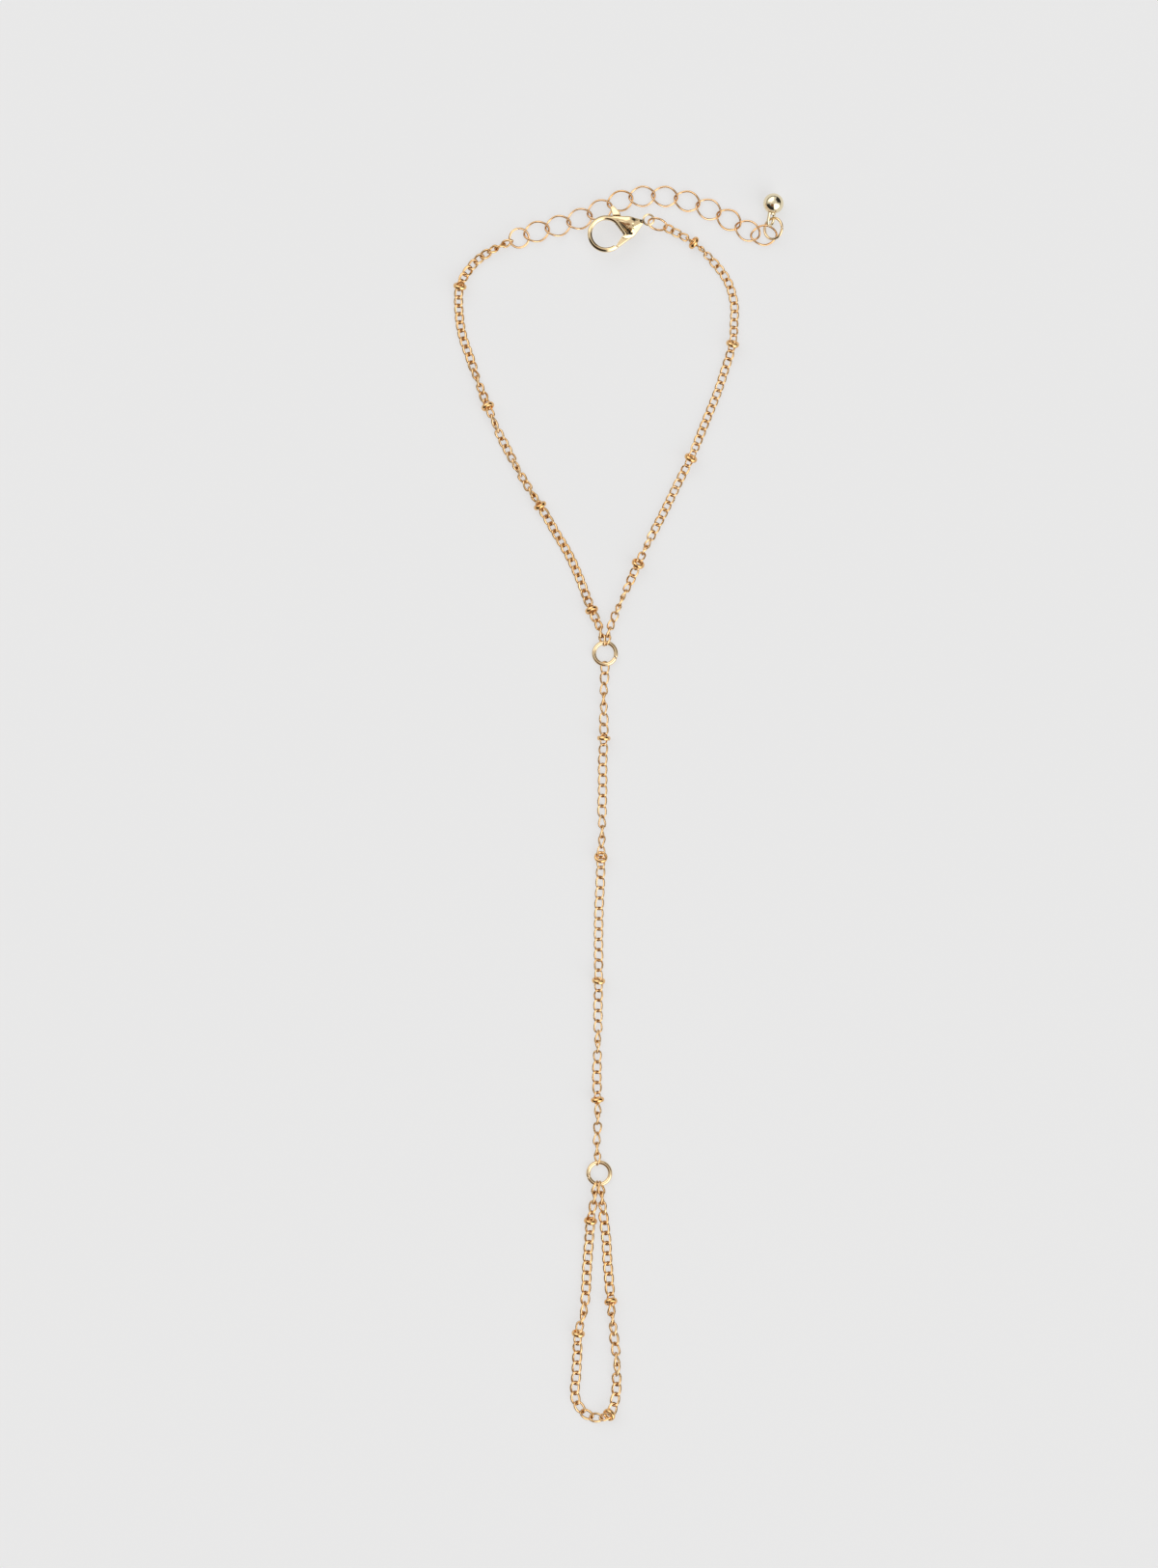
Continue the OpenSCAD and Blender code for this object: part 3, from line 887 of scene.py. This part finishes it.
@dataclass
class Casting:
    """A cast piece: the surface where a shape's distance is zero, as one closed mesh, in millimetres."""

    shape: Callable[[Array], Array]
    low: Triple
    high: Triple
    cell: float = 0.075
    step: float = 0.01
    soften: float = 0.035
    passes: int = 3
    least_slope: float = 0.25
    # Painted shade in hollows: how far out from the surface the metal's room is felt, and the room that gives
    # full shade and none.
    feelers: tuple[float, ...] = (0.1, 0.25, 0.5)
    shade_room: Span = (0.25, 0.65)

    def _slope(self, points: Array, step: float) -> Array:
        """Slope of the distance at points, taken over a step to each side."""
        steps = step * np.eye(3)
        rises = [self.shape((points + s).T) - self.shape((points - s).T) for s in steps]
        return np.stack(rises, axis=1) / (2 * step)

    def _net(self) -> tuple[Array, Array]:
        """Lays a net over the shape: one vertex in each cell that its surface crosses.

        Returns:
            The vertices, and four of their numbers for each face.
        """
        axes = [np.arange(a, b + self.cell, self.cell) for a, b in zip(self.low, self.high)]
        value = self.shape(np.array(np.meshgrid(*axes, indexing="ij")))
        inside = value < 0
        count = np.array(value.shape) - 1
        total = np.zeros((*count, 3))
        crossings = np.zeros(count)
        for axis in range(3):
            v = np.moveaxis(value, axis, 0)
            m = np.moveaxis(inside, axis, 0)
            crossed = m[1:] != m[:-1]
            t = np.where(crossed, v[:-1] / np.where(crossed, v[:-1] - v[1:], 1.0), 0.0)
            crossed, t = (np.moveaxis(values, 0, axis) for values in (crossed, t))
            others = [k for k in range(3) if k != axis]
            for corner in np.ndindex(2, 2):
                window = [slice(None)] * 3
                for k, at in zip(others, corner):
                    window[k] = slice(at, at + count[k])
                hit = crossed[tuple(window)]
                crossings += hit
                total[..., axis] += t[tuple(window)]
                for k, at in zip(others, corner):
                    total[..., k] += at * hit
        used = crossings > 0
        number = np.full(count, -1)
        number[used] = np.arange(used.sum())
        points = np.array(self.low) + (np.argwhere(used) + total[used] / crossings[used][:, None]) * self.cell
        faces = []
        for axis in range(3):
            order = (axis, (axis + 1) % 3, (axis + 2) % 3)
            m, n = (np.moveaxis(values, order, (0, 1, 2)) for values in (inside, number))
            before, after = m[:-1, 1:-1, 1:-1], m[1:, 1:-1, 1:-1]
            quad = np.stack([n[:, :-1, :-1], n[:, 1:, :-1], n[:, 1:, 1:], n[:, :-1, 1:]], axis=-1)
            faces += [quad[before & ~after], quad[~before & after][:, ::-1]]
        return points, np.concatenate(faces)

    def build(self, name: str, origin: Array, finish: Material) -> Object:
        """Builds the piece, with the shape's own slopes as its normals and painted shade marked in its
        hollows.

        Args:
            name: name of the piece.
            origin: where the shape's own origin lies, in metres.
            finish: its material.

        Returns:
            The object.
        """
        points, faces = self._net()
        for _ in range(self.passes):
            slope = self._slope(points, self.step)
            push = self.shape(points.T) / np.maximum((slope**2).sum(1), self.least_slope)
            points = points - np.clip(push, -self.cell / 2, self.cell / 2)[:, None] * slope
        slope = self._slope(points, self.soften)
        normals = slope / np.maximum(np.linalg.norm(slope, axis=1), 1e-6)[:, None]
        piece = make_shell(name, points * MM + origin, faces.tolist(), finish)
        piece.data.update()
        piece.data.normals_split_custom_set_from_vertices(normals.tolist())
        # Painted shade: marks where the piece's own metal lies close in front of its surface, as in hollows
        # and creases, to be darkened in the material.
        room = np.min([self.shape((points + h * normals).T) / h for h in self.feelers], axis=0)
        low, high = self.shade_room
        crevice = piece.data.attributes.new("crevice", "FLOAT", "POINT")
        crevice.data.foreach_set("value", (1 - smooth((room - low) / (high - low))).astype(np.float32))
        return piece


@dataclass
class BallDrop:
    """The ball at the extender's end, with its bail soldered on."""

    node: str = "ball_drop"
    ball: Triple = (26.6, 103.5, 1.75)
    radius: float = 1.75
    bail_wire: float = 0.5
    bail_gap: float = 0.95
    bail_reach: float = 2.3
    swing: float = -9.0
    dip: float = 12.0
    lean: float = 37.0
    collar_r: float = 0.55
    collar_edge: float = 0.16
    collar_fillet: float = 0.12
    solder: float = 0.08
    far: float = 9.0
    low: Triple = (-2.0, -4.1, -2.0)
    high: Triple = (2.0, 2.0, 2.0)

    def _shape(self, p: Array) -> Array:
        """Distance to the ball with its bail, drawn about the ball's middle.

        Args:
            p: the points.

        Returns:
            The distance, negative inside.
        """
        pose = Euler((math.radians(self.dip), 0, math.radians(self.swing))).to_matrix()
        pose = pose @ Matrix.Rotation(math.radians(-90 - self.lean), 3, "Y")
        u, v, w = (row[0] * p[0] + row[1] * p[1] + row[2] * p[2] for row in pose.inverted())
        half = (self.bail_gap + self.bail_wire) / 2
        straight = self.radius + self.bail_reach - self.bail_wire / 2 - half
        sides = np.hypot(np.abs(u) - half, w)
        bend = np.hypot(np.hypot(u, v + straight) - half, w)
        wire = np.where(v > -straight, np.where(v < 0, sides, self.far), bend) - self.bail_wire / 2
        ball = np.sqrt(p[0] * p[0] + p[1] * p[1] + p[2] * p[2]) - self.radius
        rim = np.maximum(np.hypot(u, w) - self.collar_r, 0)
        collar = np.hypot(rim, v + self.radius) - self.collar_edge
        return weld(weld(ball, collar, self.collar_fillet), wire, self.solder)

    def build(self, finish: Material) -> None:
        """Builds the ball and the bail as one casting.

        Args:
            finish: its material.
        """
        casting = Casting(self._shape, self.low, self.high)
        piece = casting.build(self.node + "_casting", np.array(self.ball) * MM, finish)
        hand_over(piece, Body.BRACELET, [self.node])


@dataclass(frozen=True)
class Ramp:
    """A plane that cuts a casting's two faces: low along a line, and higher to the left of it."""

    start: Point
    end: Point
    low: float
    slope: float

    def distance(self, p: Array) -> Array:
        """Distance to what lies under the plane and over its mirror image.

        Args:
            p: the points, whose height is above the casting's middle plane.

        Returns:
            The distance, negative inside.
        """
        dx, dy = self.end[0] - self.start[0], self.end[1] - self.start[1]
        left = ((p[1] - self.start[1]) * dx - (p[0] - self.start[0]) * dy) / math.hypot(dx, dy)
        return (np.abs(p[2]) - self.low - self.slope * left) / math.hypot(1.0, self.slope)


@dataclass
class Clasp:
    """The lobster clasp: hook, cheeks and eye, and the lever with its gate and thumb tab.

    Its points are in millimetres from the rivet, with z above the clasp's middle plane."""

    hook: Circle = (-3.65, -1.1, 3.15)
    hole: Circle = (-3.65, -1.1, 2.4)
    corner: Circle = (-0.6, -1.3, 0.05)
    head: Circle = (0.0, 0.0, 1.9)
    tail: Circle = (2.3, 0.85, 0.5)
    eye: Circle = (3.7, 1.35, 0.9)
    eye_wire: float = 0.35
    hook_half: float = 0.75
    edge_half: float = 0.5
    edge_slope: float = 0.68
    rim_half: float = 0.56
    rim_slope: float = 0.72
    rim_width: float = 0.46
    bar_depth: float = 0.8
    bar_end: float = 385.0
    base_half: float = 0.45
    base_inset: float = 0.1
    cheek_half: float = 1.1
    cheek_core: float = 0.4
    cheek_round: float = 0.62
    gate_half: float = 0.9
    gate_depth: float = 1.1
    gate_slope: float = 0.36
    lever_slope: float = 0.2
    roof_share: float = 0.93
    web_half: float = 0.26
    tab_half: float = 0.62
    slot_half: float = 0.32
    rivet_r: float = 0.28
    rivet_play: float = 0.02
    rivet_depth: float = 0.03
    hub_r: float = 1.2
    hub_play: float = 0.1
    mouth: Span = (226.0, 315.0)
    gate: Span = (229.0, 314.0)
    mouth_play: float = 0.03
    gate_root: float = 1.955
    gate_lap: float = 0.4
    gate_reach: float = 3.75
    hook_cut: float = 3.85
    slot_r: float = 2.12
    band: tuple[Circle, ...] = (
        (2.45, 0.62, 0.26), (1.45, -0.45, 0.52), (0.6, -1.62, 0.42), (-0.45, -2.1, 0.62), (-1.65, -3.35, 0.3),
    )
    cheek: tuple[Circle, Circle, Circle] = ((-3.2, 1.62, 0.36), (0.35, 0.85, 1.1), (2.3, 0.98, 0.4))
    shoulder: tuple[Circle, Circle] = ((0.3, -0.15, 1.05), (2.1, 0.75, 0.6))
    skirt: tuple[Circle, Circle] = ((-2.2, 1.2, 0.3), (0.3, -0.15, 0.85))
    flank: tuple[Ramp, Ramp] = (
        Ramp((-2.2, 1.05), (0.2, -0.95), 0.68, 0.33),
        Ramp((-2.2, 1.05), (0.2, -0.95), 0.44, 1.4),
    )
    valley: tuple[Ramp, Ramp] = (
        Ramp((1.0, -0.2), (2.42, 0.72), 0.87, 1.4),
        Ramp((1.1, -1.0), (1.1, 0.5), 0.87, 1.4),
    )
    pocket: tuple[Circle, Circle] = ((0.16, -1.06, 0.19), (0.76, -1.1, 0.19))
    pocket_half: float = 0.6
    notch: Triple = (2.38, 1.06, 0.62)
    notch_r: float = 0.22
    tab_face: Ramp = Ramp((-2.1, 3.9), (-2.98, 3.43), 0.2, 0.25)
    tab_slot: Span = (76.0, 150.0)
    tab_inset: float = 0.08
    margin: float = 0.15
    arm: tuple[Circle, Circle] = ((0.0, 0.0, 0.6), (-1.78, 2.12, 0.5))
    fin: tuple[Circle, Circle] = ((-1.78, 2.12, 0.62), (-2.45, 3.38, 0.33))
    fine: float = 0.04
    edge: float = 0.05
    crease: float = 0.06
    fillet: float = 0.1
    band_fillet: float = 0.12
    tab_fillet: float = 0.16
    spindle_fillet: float = 0.3
    flank_fillet: float = 0.4

    def _outline(self, p: Array) -> Array:
        """Distance to the clasp's outline with the gate shut, without its eye."""
        return np.minimum(capsule(p, self.hook, self.head), capsule(p, self.head, self.tail))

    def _hole(self, p: Array) -> Array:
        """Distance to the hook's hole, drawn out to a corner beside the gate."""
        return capsule(p, self.hole, self.corner)

    def _gate_band(self, p: Array) -> Array:
        """Distance to the broad band that runs from the tail to the hook's tip."""
        band = np.min([capsule(p, a, b) for a, b in zip(self.band, self.band[1:])], axis=0)
        return np.maximum(np.maximum(self._outline(p), -self._hole(p)), band)

    def _sloped(self, flat: Array, slope: float, p: Array) -> Array:
        """Distance to a flat shape made as thick as the broad band, which falls towards the outside.

        Args:
            flat: distance to the flat shape.
            slope: how steeply it falls.
            p: the points.

        Returns:
            The distance, negative inside.
        """
        fall = slope * (self.gate_depth + self._outline(p))
        roof = np.minimum(self.gate_half - fall, self.gate_half)
        block = pillow(flat, p[2], self.gate_half + self.fillet, 2 * self.fillet)
        return weld_cut(block, (np.abs(p[2]) - roof) * self.roof_share, self.band_fillet)

    def _crown(self, p: Array) -> Array:
        """Distance to the cheek, a long spindle cut by a flank towards the hole and a valley beside the band.

        Args:
            p: the points.

        Returns:
            The distance, negative inside.
        """
        lift = np.maximum(np.abs(p[2]) - self.cheek_core, 0) / self.cheek_round
        back, front = (capsule(p, a, b, lift) for a, b in zip(self.cheek, self.cheek[1:]))
        spindle = weld(weld(back, front, self.spindle_fillet), capsule(p, *self.shoulder, lift), self.fillet)
        skirt = pillow(capsule(p, *self.skirt), p[2], self.cheek_half, 2 * self.fillet)
        cut = weld(spindle, skirt, self.fillet)
        for ramp in self.flank:
            cut = weld_cut(cut, ramp.distance(p), self.flank_fillet)
        valley = np.minimum(*(ramp.distance(p) for ramp in self.valley))
        return weld_cut(weld_cut(cut, valley, self.crease), self._outline(p), self.edge)

    def _bar(self, p: Array) -> Array:
        """Distance to the hook's bar, bevelled on both sides, and to the ridge that goes on round the hole.

        Args:
            p: the points.

        Returns:
            The distance, negative inside.
        """
        outline, hole, tall = self._outline(p), self._hole(p), np.abs(p[2])
        steep = math.hypot(1.0, self.rim_slope)
        outer = (tall - self.edge_half + self.edge_slope * outline) / math.hypot(1.0, self.edge_slope)
        inner = (tall - self.rim_half - self.rim_slope * hole) / steep
        far = (tall - self.hook_half + self.rim_slope * (hole - self.rim_width)) / steep
        tops = weld_cut(weld_cut(outer, inner, self.crease), tall - self.hook_half, self.crease)
        sides = weld_cut(outline, -hole, self.fine)
        band_side = -wedge(p, self.mouth[0], self.bar_end)
        bar = np.maximum(np.maximum(sides, -outline - self.bar_depth), band_side)
        ridge = np.maximum(np.maximum(sides, hole - self.bar_depth), far)
        return weld_cut(np.minimum(bar, ridge), tops, self.crease)

    def body(self, p: Array) -> Array:
        """Distance to the body.

        Args:
            p: the points.

        Returns:
            The distance, negative inside.
        """
        outline, hole, tall = self._outline(p), self._hole(p), np.abs(p[2])
        inset = np.maximum(outline + self.base_inset, self.base_inset - hole)
        metal = weld(self._bar(p), np.maximum(inset, tall - self.base_half), self.crease)
        metal = weld(metal, self._crown(p), self.crease)
        metal = weld(metal, self._sloped(self._gate_band(p), self.gate_slope, p), self.crease)
        metal = np.maximum(metal, -hole)
        r = np.hypot(p[0], p[1])
        gate_room = np.maximum(self.head[2] + self.mouth_play - r, r - self.hook_cut)
        metal = carve(metal, np.maximum(wedge(p, *self.mouth), gate_room), self.fine)
        room = np.minimum(
            np.maximum(wedge(p, self.tab_slot[0], self.mouth[1]), r - self.slot_r),
            np.maximum(wedge(p, *self.tab_slot), r - 2 * self.slot_r),
        )
        room = np.maximum(np.minimum(r - self.hub_r - self.hub_play, room), tall - self.slot_half)
        metal = carve(metal, room, self.edge)
        pocket = capsule(p, *self.pocket, np.maximum(self.pocket_half - tall, 0))
        notch = (p[0] - self.notch[0]) ** 2 + (p[1] - self.notch[1]) ** 2 + (tall - self.notch[2]) ** 2
        metal = carve(carve(metal, pocket, self.crease), np.sqrt(notch) - self.notch_r, self.edge)
        eye = np.hypot(np.hypot(p[0] - self.eye[0], p[1] - self.eye[1]) - self.eye[2], p[2])
        return weld(metal, eye - self.eye_wire / 2, self.band_fillet)

    def lever(self, p: Array) -> Array:
        """Distance to the lever.

        Args:
            p: the points.

        Returns:
            The distance, negative inside.
        """
        r = np.hypot(p[0], p[1])
        band = np.maximum(self._gate_band(p), wedge(p, *self.gate))
        flat = np.maximum(band, np.maximum(self.gate_root - r, r - self.gate_reach))
        gate = self._sloped(flat, self.lever_slope, p)
        root = np.maximum(band, r - self.gate_root - self.gate_lap)
        fin = capsule(p, *self.fin)
        plate = np.minimum(np.minimum(r - self.hub_r, capsule(p, *self.arm)), np.minimum(root, fin))
        web = pillow(plate, p[2], self.web_half, self.fillet)
        tab = pillow(np.maximum(fin, self.tab_inset - self._outline(p)), p[2], self.tab_half, self.fillet)
        tab = weld_cut(tab, self.tab_face.distance(p), self.fillet)
        metal = weld(weld(web, gate, self.edge), tab, self.tab_fillet)
        return carve(metal, r - self.rivet_r - self.rivet_play, self.edge)

    def rivet(self, p: Array) -> Array:
        """Distance to the rivet, a pin ground flush with the cheeks."""
        return weld_cut(np.hypot(p[0], p[1]) - self.rivet_r, self._crown(p) - self.rivet_depth, self.fine)

    def build(self, finish: Material) -> None:
        """Builds the three castings.

        Args:
            finish: their material.
        """
        origin = middle("clasp_rivet")
        z = self.cheek_half + self.margin
        parts = (
            ("clasp_body", self.body, Body.BRACELET, (-7.0, -4.5, -z), (5.1, 2.8, z), 0.055),
            ("clasp_lever", self.lever, Body.LEVER, (-3.6, -4.2, -z), (2.8, 4.2, z), 0.055),
            ("clasp_rivet", self.rivet, Body.BRACELET, (-0.6, -0.6, -z), (0.6, 0.6, z), 0.06),
        )
        for node, shape, body, low, high, cell in parts:
            piece = Casting(shape, low, high, cell).build(node + "_casting", origin, finish)
            hand_over(piece, body, [node])


@dataclass(frozen=True)
class Patch:
    """A patch of the light dome: the direction of its middle, and how it fades to its sides and in height."""

    bearing: float
    sides: Span
    heights: Span
    strength: float = 1.0

    def light(self, east: Wire, north: Wire, z: Wire) -> Wire:
        """The patch's strength in a direction.

        Args:
            east: the direction's level part along X, of length 1.
            north: the same along Y.
            z: the direction's height.

        Returns:
            The strength.
        """
        bearing = math.radians(self.bearing)
        facing = east * math.cos(bearing) + north * math.sin(bearing)
        return facing.step(*self.sides) * z.step(*self.heights) * self.strength


@dataclass
class Studio:
    """Camera straight above, pale floor and a soft bright dome with two dark gaps near the horizon."""

    lens: float = 85.0
    camera_at: Triple = (-6.88, 3.52, 639.4)
    floor_grey: float = 0.22
    floor_drift: float = 0.004
    floor_grain: float = 0.25
    floor_glow: float = 0.598
    floor_reach: float = 4.0
    floor_points: int = 96
    backdrop_grey: float = 0.815
    dome: float = 0.75
    horizon_dip: float = 0.52
    overhead_dip: float = 0.55
    gap_depth: float = 0.95
    warm: Colour = (0.75, 0.4, 0.22)
    top: Span = (0.97, 0.88)
    horizon: Span = (0.42, 0.12)
    overhead: Span = (0.93, 0.98)
    overhead_at: Triple = (-0.25, -0.46, 0.85)
    least_level: float = 0.0001
    gaps: tuple[Patch, Patch] = (
        Patch(32.0, (0.82, 0.93), (0.86, 0.68)),
        Patch(231.0, (0.64, 0.8), (0.8, 0.6)),
    )
    boxes: tuple[Patch, Patch] = (
        Patch(312.0, (0.75, 1.0), (0.0, 0.15), 1.9),
        Patch(125.0, (0.7, 0.85), (0.2, 0.45), 1.1),
    )

    def build(self) -> None:
        """Builds the camera, the floor, the backdrop and the light."""
        self._camera()
        self._floor()
        self._backdrop()
        self._world()
        bpy.context.scene.view_settings.view_transform = "Standard"
        LOG.info("studio: camera %.0f mm above the floor", self.camera_at[2])

    def _camera(self) -> None:
        """Makes the camera, which looks straight down with +Y up."""
        data = bpy.data.cameras.new("camera")
        data.lens = self.lens
        data.clip_start = 0.01
        data.clip_end = 100.0
        camera = make_object("camera", data)
        camera.location = Vector(self.camera_at) * MM
        bpy.context.scene.camera = camera

    def _floor(self) -> None:
        """Makes the floor, a wide matt disc that glows a little."""
        material, board = new_material("pale_floor")
        dark, light = ((self.floor_grey + drift,) * 3 for drift in (-self.floor_drift, self.floor_drift))
        skin = {
            "Base Color": board.blend(board.noise(self.floor_grain, detail=2.0), dark, light),
            "Roughness": 1.0,
            "Specular IOR Level": 0.0,
            "Emission Color": (self.floor_glow,) * 3 + (1.0,),
            "Emission Strength": 1.0,
        }
        matt = board.out("ShaderNodeBsdfPrincipled", skin)
        board.node("ShaderNodeOutputMaterial", {"Surface": matt})
        turn = np.linspace(0, 2 * math.pi, self.floor_points, endpoint=False)
        points = np.column_stack([np.cos(turn), np.sin(turn), np.zeros(len(turn))]) * self.floor_reach
        make_shell("floor", points, [tuple(range(len(turn)))], material, flat=1)

    def _backdrop(self) -> None:
        """Makes the pale backdrop that only the camera sees, behind the floor's far edge."""
        material, board = new_material("pale_backdrop")
        grey = (self.backdrop_grey,) * 3 + (1.0,)
        glow = board.out("ShaderNodeEmission", {"Color": grey, "Strength": 1.0})
        board.node("ShaderNodeOutputMaterial", {"Surface": glow})
        ball = bmesh.new()
        bmesh.ops.create_uvsphere(ball, u_segments=48, v_segments=24, radius=self.floor_reach)
        mesh = bpy.data.meshes.new("backdrop")
        ball.to_mesh(mesh)
        ball.free()
        mesh.materials.append(material)
        backdrop = make_object("backdrop", mesh)
        for kind in ("diffuse", "glossy", "transmission", "volume_scatter", "shadow"):
            setattr(backdrop, f"visible_{kind}", False)

    def _world(self) -> None:
        """Makes the light: a bright dome, two brighter boxes, two dark gaps and a warm shade overhead."""
        world = bpy.data.worlds.new("studio")
        world.use_nodes = True
        world.node_tree.nodes.clear()
        bpy.context.scene.world = world
        board = Board(world.node_tree)
        x, y, z = board.parts(board.out("ShaderNodeTexCoord", name="Generated"))
        level = (x * x + y * y + self.least_level).root()
        east, north = x / level, y / level
        gap, box = (a.light(east, north, z) + b.light(east, north, z) for a, b in (self.gaps, self.boxes))
        horizon = z.step(*self.horizon)
        along = self.overhead_at
        overhead = (x * along[0] + y * along[1] + z * along[2]).step(*self.overhead)
        dome = (self.dome - self.horizon_dip * horizon) * (1.0 - self.gap_depth * gap)
        light = dome * (1.0 - self.overhead_dip * overhead) + box * z.step(*self.top)
        colour = board.blend(overhead, (1.0, 1.0, 1.0), self.warm)
        glow = board.out("ShaderNodeBackground", {"Color": colour, "Strength": light})
        board.node("ShaderNodeOutputWorld", {"Surface": glow})


LEFT_ROUTE = Route(
    points=(
        (-19.2, 96.85), (-22.6, 95.2), (-25.4, 92.9), (-27.4, 89.3), (-27.6, 85.3), (-27.0, 81.0),
        (-25.7, 77.1), (-24.4, 73.2), (-22.6, 68.6), (-20.8, 64.3), (-18.8, 60.4), (-16.7, 56.5),
        (-13.6, 51.5), (-11.0, 47.1), (-8.7, 43.2), (-6.9, 39.3), (-4.7, 33.5), (-3.45, 30.8),
        (-2.78, 28.33),
    ),
    beads=(3, 8, 12, 16),
    start_roll=125.0,
    end_roll=-125.0,
    turnovers=tuple(map(Turnover, ((-24.1, 73.1), (-21.2, 65.9), (-17.5, 57.8), (-14.4, 53.8)))),
)
RIGHT_ROUTE = Route(
    points=(
        (8.6, 99.25), (12.9, 96.8), (16.3, 93.6), (18.8, 90.2), (19.9, 86.4), (19.9, 83.2),
        (19.6, 79.4), (18.3, 75.0), (16.9, 70.8), (15.4, 67.1), (14.0, 63.6), (12.4, 59.7),
        (10.3, 55.6), (8.1, 51.1), (5.9, 46.8), (3.3, 41.5), (1.6, 37.7), (-0.2, 33.7), (-1.42, 30.8),
        (-2.02, 28.33),
    ),
    beads=(1, 6, 11, 15),
    start_roll=0.0,
    end_roll=-125.0,
    turnovers=(
        Turnover((12.9, 96.8), (14.4, 95.5)),
        Turnover((4.9, 44.3)),
        Turnover((0.9, 35.9), (0.0, 34.3)),
    ),
    start_z=1.1,
)
STEM_ROUTE = Route(
    points=(
        (-2.4, 23.52), (-2.6, 19.5), (-2.6, 15.5), (-2.6, 11.4), (-2.8, 7.4), (-2.8, 3.2), (-2.9, -1.0),
        (-2.9, -5.0), (-3.1, -9.1), (-3.2, -13.2), (-3.4, -17.4), (-3.5, -21.6), (-3.5, -26.0),
        (-3.5, -30.4), (-3.6, -34.6), (-3.6, -38.8), (-3.7, -42.8), (-3.8, -46.8), (-3.7, -50.9),
        (-3.7, -55.0), (-3.8, -58.2), (-3.71, -61.14),
    ),
    beads=(3, 8, 13, 18),
    start_roll=15.0,
    end_roll=-125.0,
    turnovers=tuple(map(Turnover, ((-2.6, 18.1), (-2.9, -4.9), (-3.7, -41.1), (-3.7, -53.7)))),
)
FINGER_ROUTE = Route(
    points=(
        (-4.0, -66.07), (-4.35, -68.6), (-4.9, -71.8), (-5.2, -76.0), (-5.5, -80.0), (-5.7, -84.0),
        (-6.1, -87.6), (-7.0, -91.2), (-7.2, -95.3), (-7.4, -99.0), (-7.6, -102.0), (-6.5, -104.4),
        (-4.5, -105.7), (-1.7, -105.2), (-0.6, -102.4), (-0.4, -99.0), (-0.4, -95.6), (-0.8, -92.3),
        (-1.1, -89.2), (-1.4, -85.7), (-1.7, -82.0), (-2.0, -78.4), (-2.2, -74.9), (-2.6, -71.6),
        (-2.85, -68.6), (-3.1, -66.14),
    ),
    beads=(2, 7, 13, 19),
    start_roll=125.0,
    end_roll=-125.0,
    turnovers=tuple(map(Turnover, ((-6.1, -88.1), (-0.2, -96.4), (-1.0, -88.7)))),
)
CHAINS = (
    LinkChain("wrist_chain_left", LEFT_ROUTE, pitch=1.43, width=1.66, wire=0.42),
    LinkChain("wrist_chain_right", RIGHT_ROUTE, pitch=1.43, width=1.58, wire=0.35),
    LinkChain("stem_chain", STEM_ROUTE, pitch=1.8, width=1.7, wire=0.35),
    LinkChain("finger_chain", FINGER_ROUTE, pitch=1.75, width=1.8, wire=0.43),
)
BEAD_LEANS = {
    1: 24, 2: -16, 3: 13, 4: -18, 5: 17, 6: 25, 7: 24, 8: 33, 10: 56, 11: 15, 13: 17, 14: 14, 15: 46, 16: 26,
}
BEAD_STRINGS = (
    BeadString("beads_wrist_left", 1, LEFT_ROUTE, BEAD_LEANS),
    BeadString("beads_wrist_right", 5, RIGHT_ROUTE, BEAD_LEANS),
    BeadString("beads_stem", 9, STEM_ROUTE, BEAD_LEANS),
    BeadString("beads_finger", 13, FINGER_ROUTE, BEAD_LEANS),
)


def build_chains() -> None:
    """Builds the four fine chains and the beads threaded on them."""
    links = FINE_CHAIN.build()
    tree = chain_tree()
    for chain in CHAINS:
        chain.build(tree, links)
    beads = POLISHED_BEAD.build()
    tree = placed_tree("beads", BEAD_SIZES, bead_shape)
    for string in BEAD_STRINGS:
        string.build(tree, beads)


def build_rings() -> None:
    """Builds the five jump rings."""
    yellow, rose = YELLOW_RING.build(), EXTENDER_WIRE.build()
    ahead = middle("extender_link_02") - middle("start_ring")
    start_turns = (("Z", math.degrees(math.atan2(ahead[1], ahead[0]))), ("X", 20.0))
    clasp_turns = (("Z", -24.0), ("Y", 14.0), ("X", 62.0))
    JumpRing("wrist_joint_ring", Slot.RING, 4.5, 0.72, cut_at=-20.0).build(yellow)
    JumpRing("finger_joint_ring", Slot.RING, 4.5, 0.72, cut_at=200.0).build(yellow)
    JumpRing("start_ring", Slot.EXTENDER, 3.7, 0.38, cut_at=80.0, turns=start_turns).build(rose)
    JumpRing("clasp_ring", Slot.EXTENDER, 3.6, 0.38, cut_at=70.0, turns=clasp_turns).build(rose)
    JumpRing("end_ring", Slot.DROP, 4.05, 0.46, turns=(("Y", -37.0),)).build(yellow)
    Extender().build(rose)


def main() -> None:
    """Builds the studio and every piece of the bracelet."""
    logging.basicConfig(level=logging.INFO, format="%(message)s")
    Studio().build()
    build_chains()
    build_rings()
    BallDrop().build(BALL_GOLD.build())
    Clasp().build(CLASP_GOLD.build())


if __name__ == "__main__":
    main()
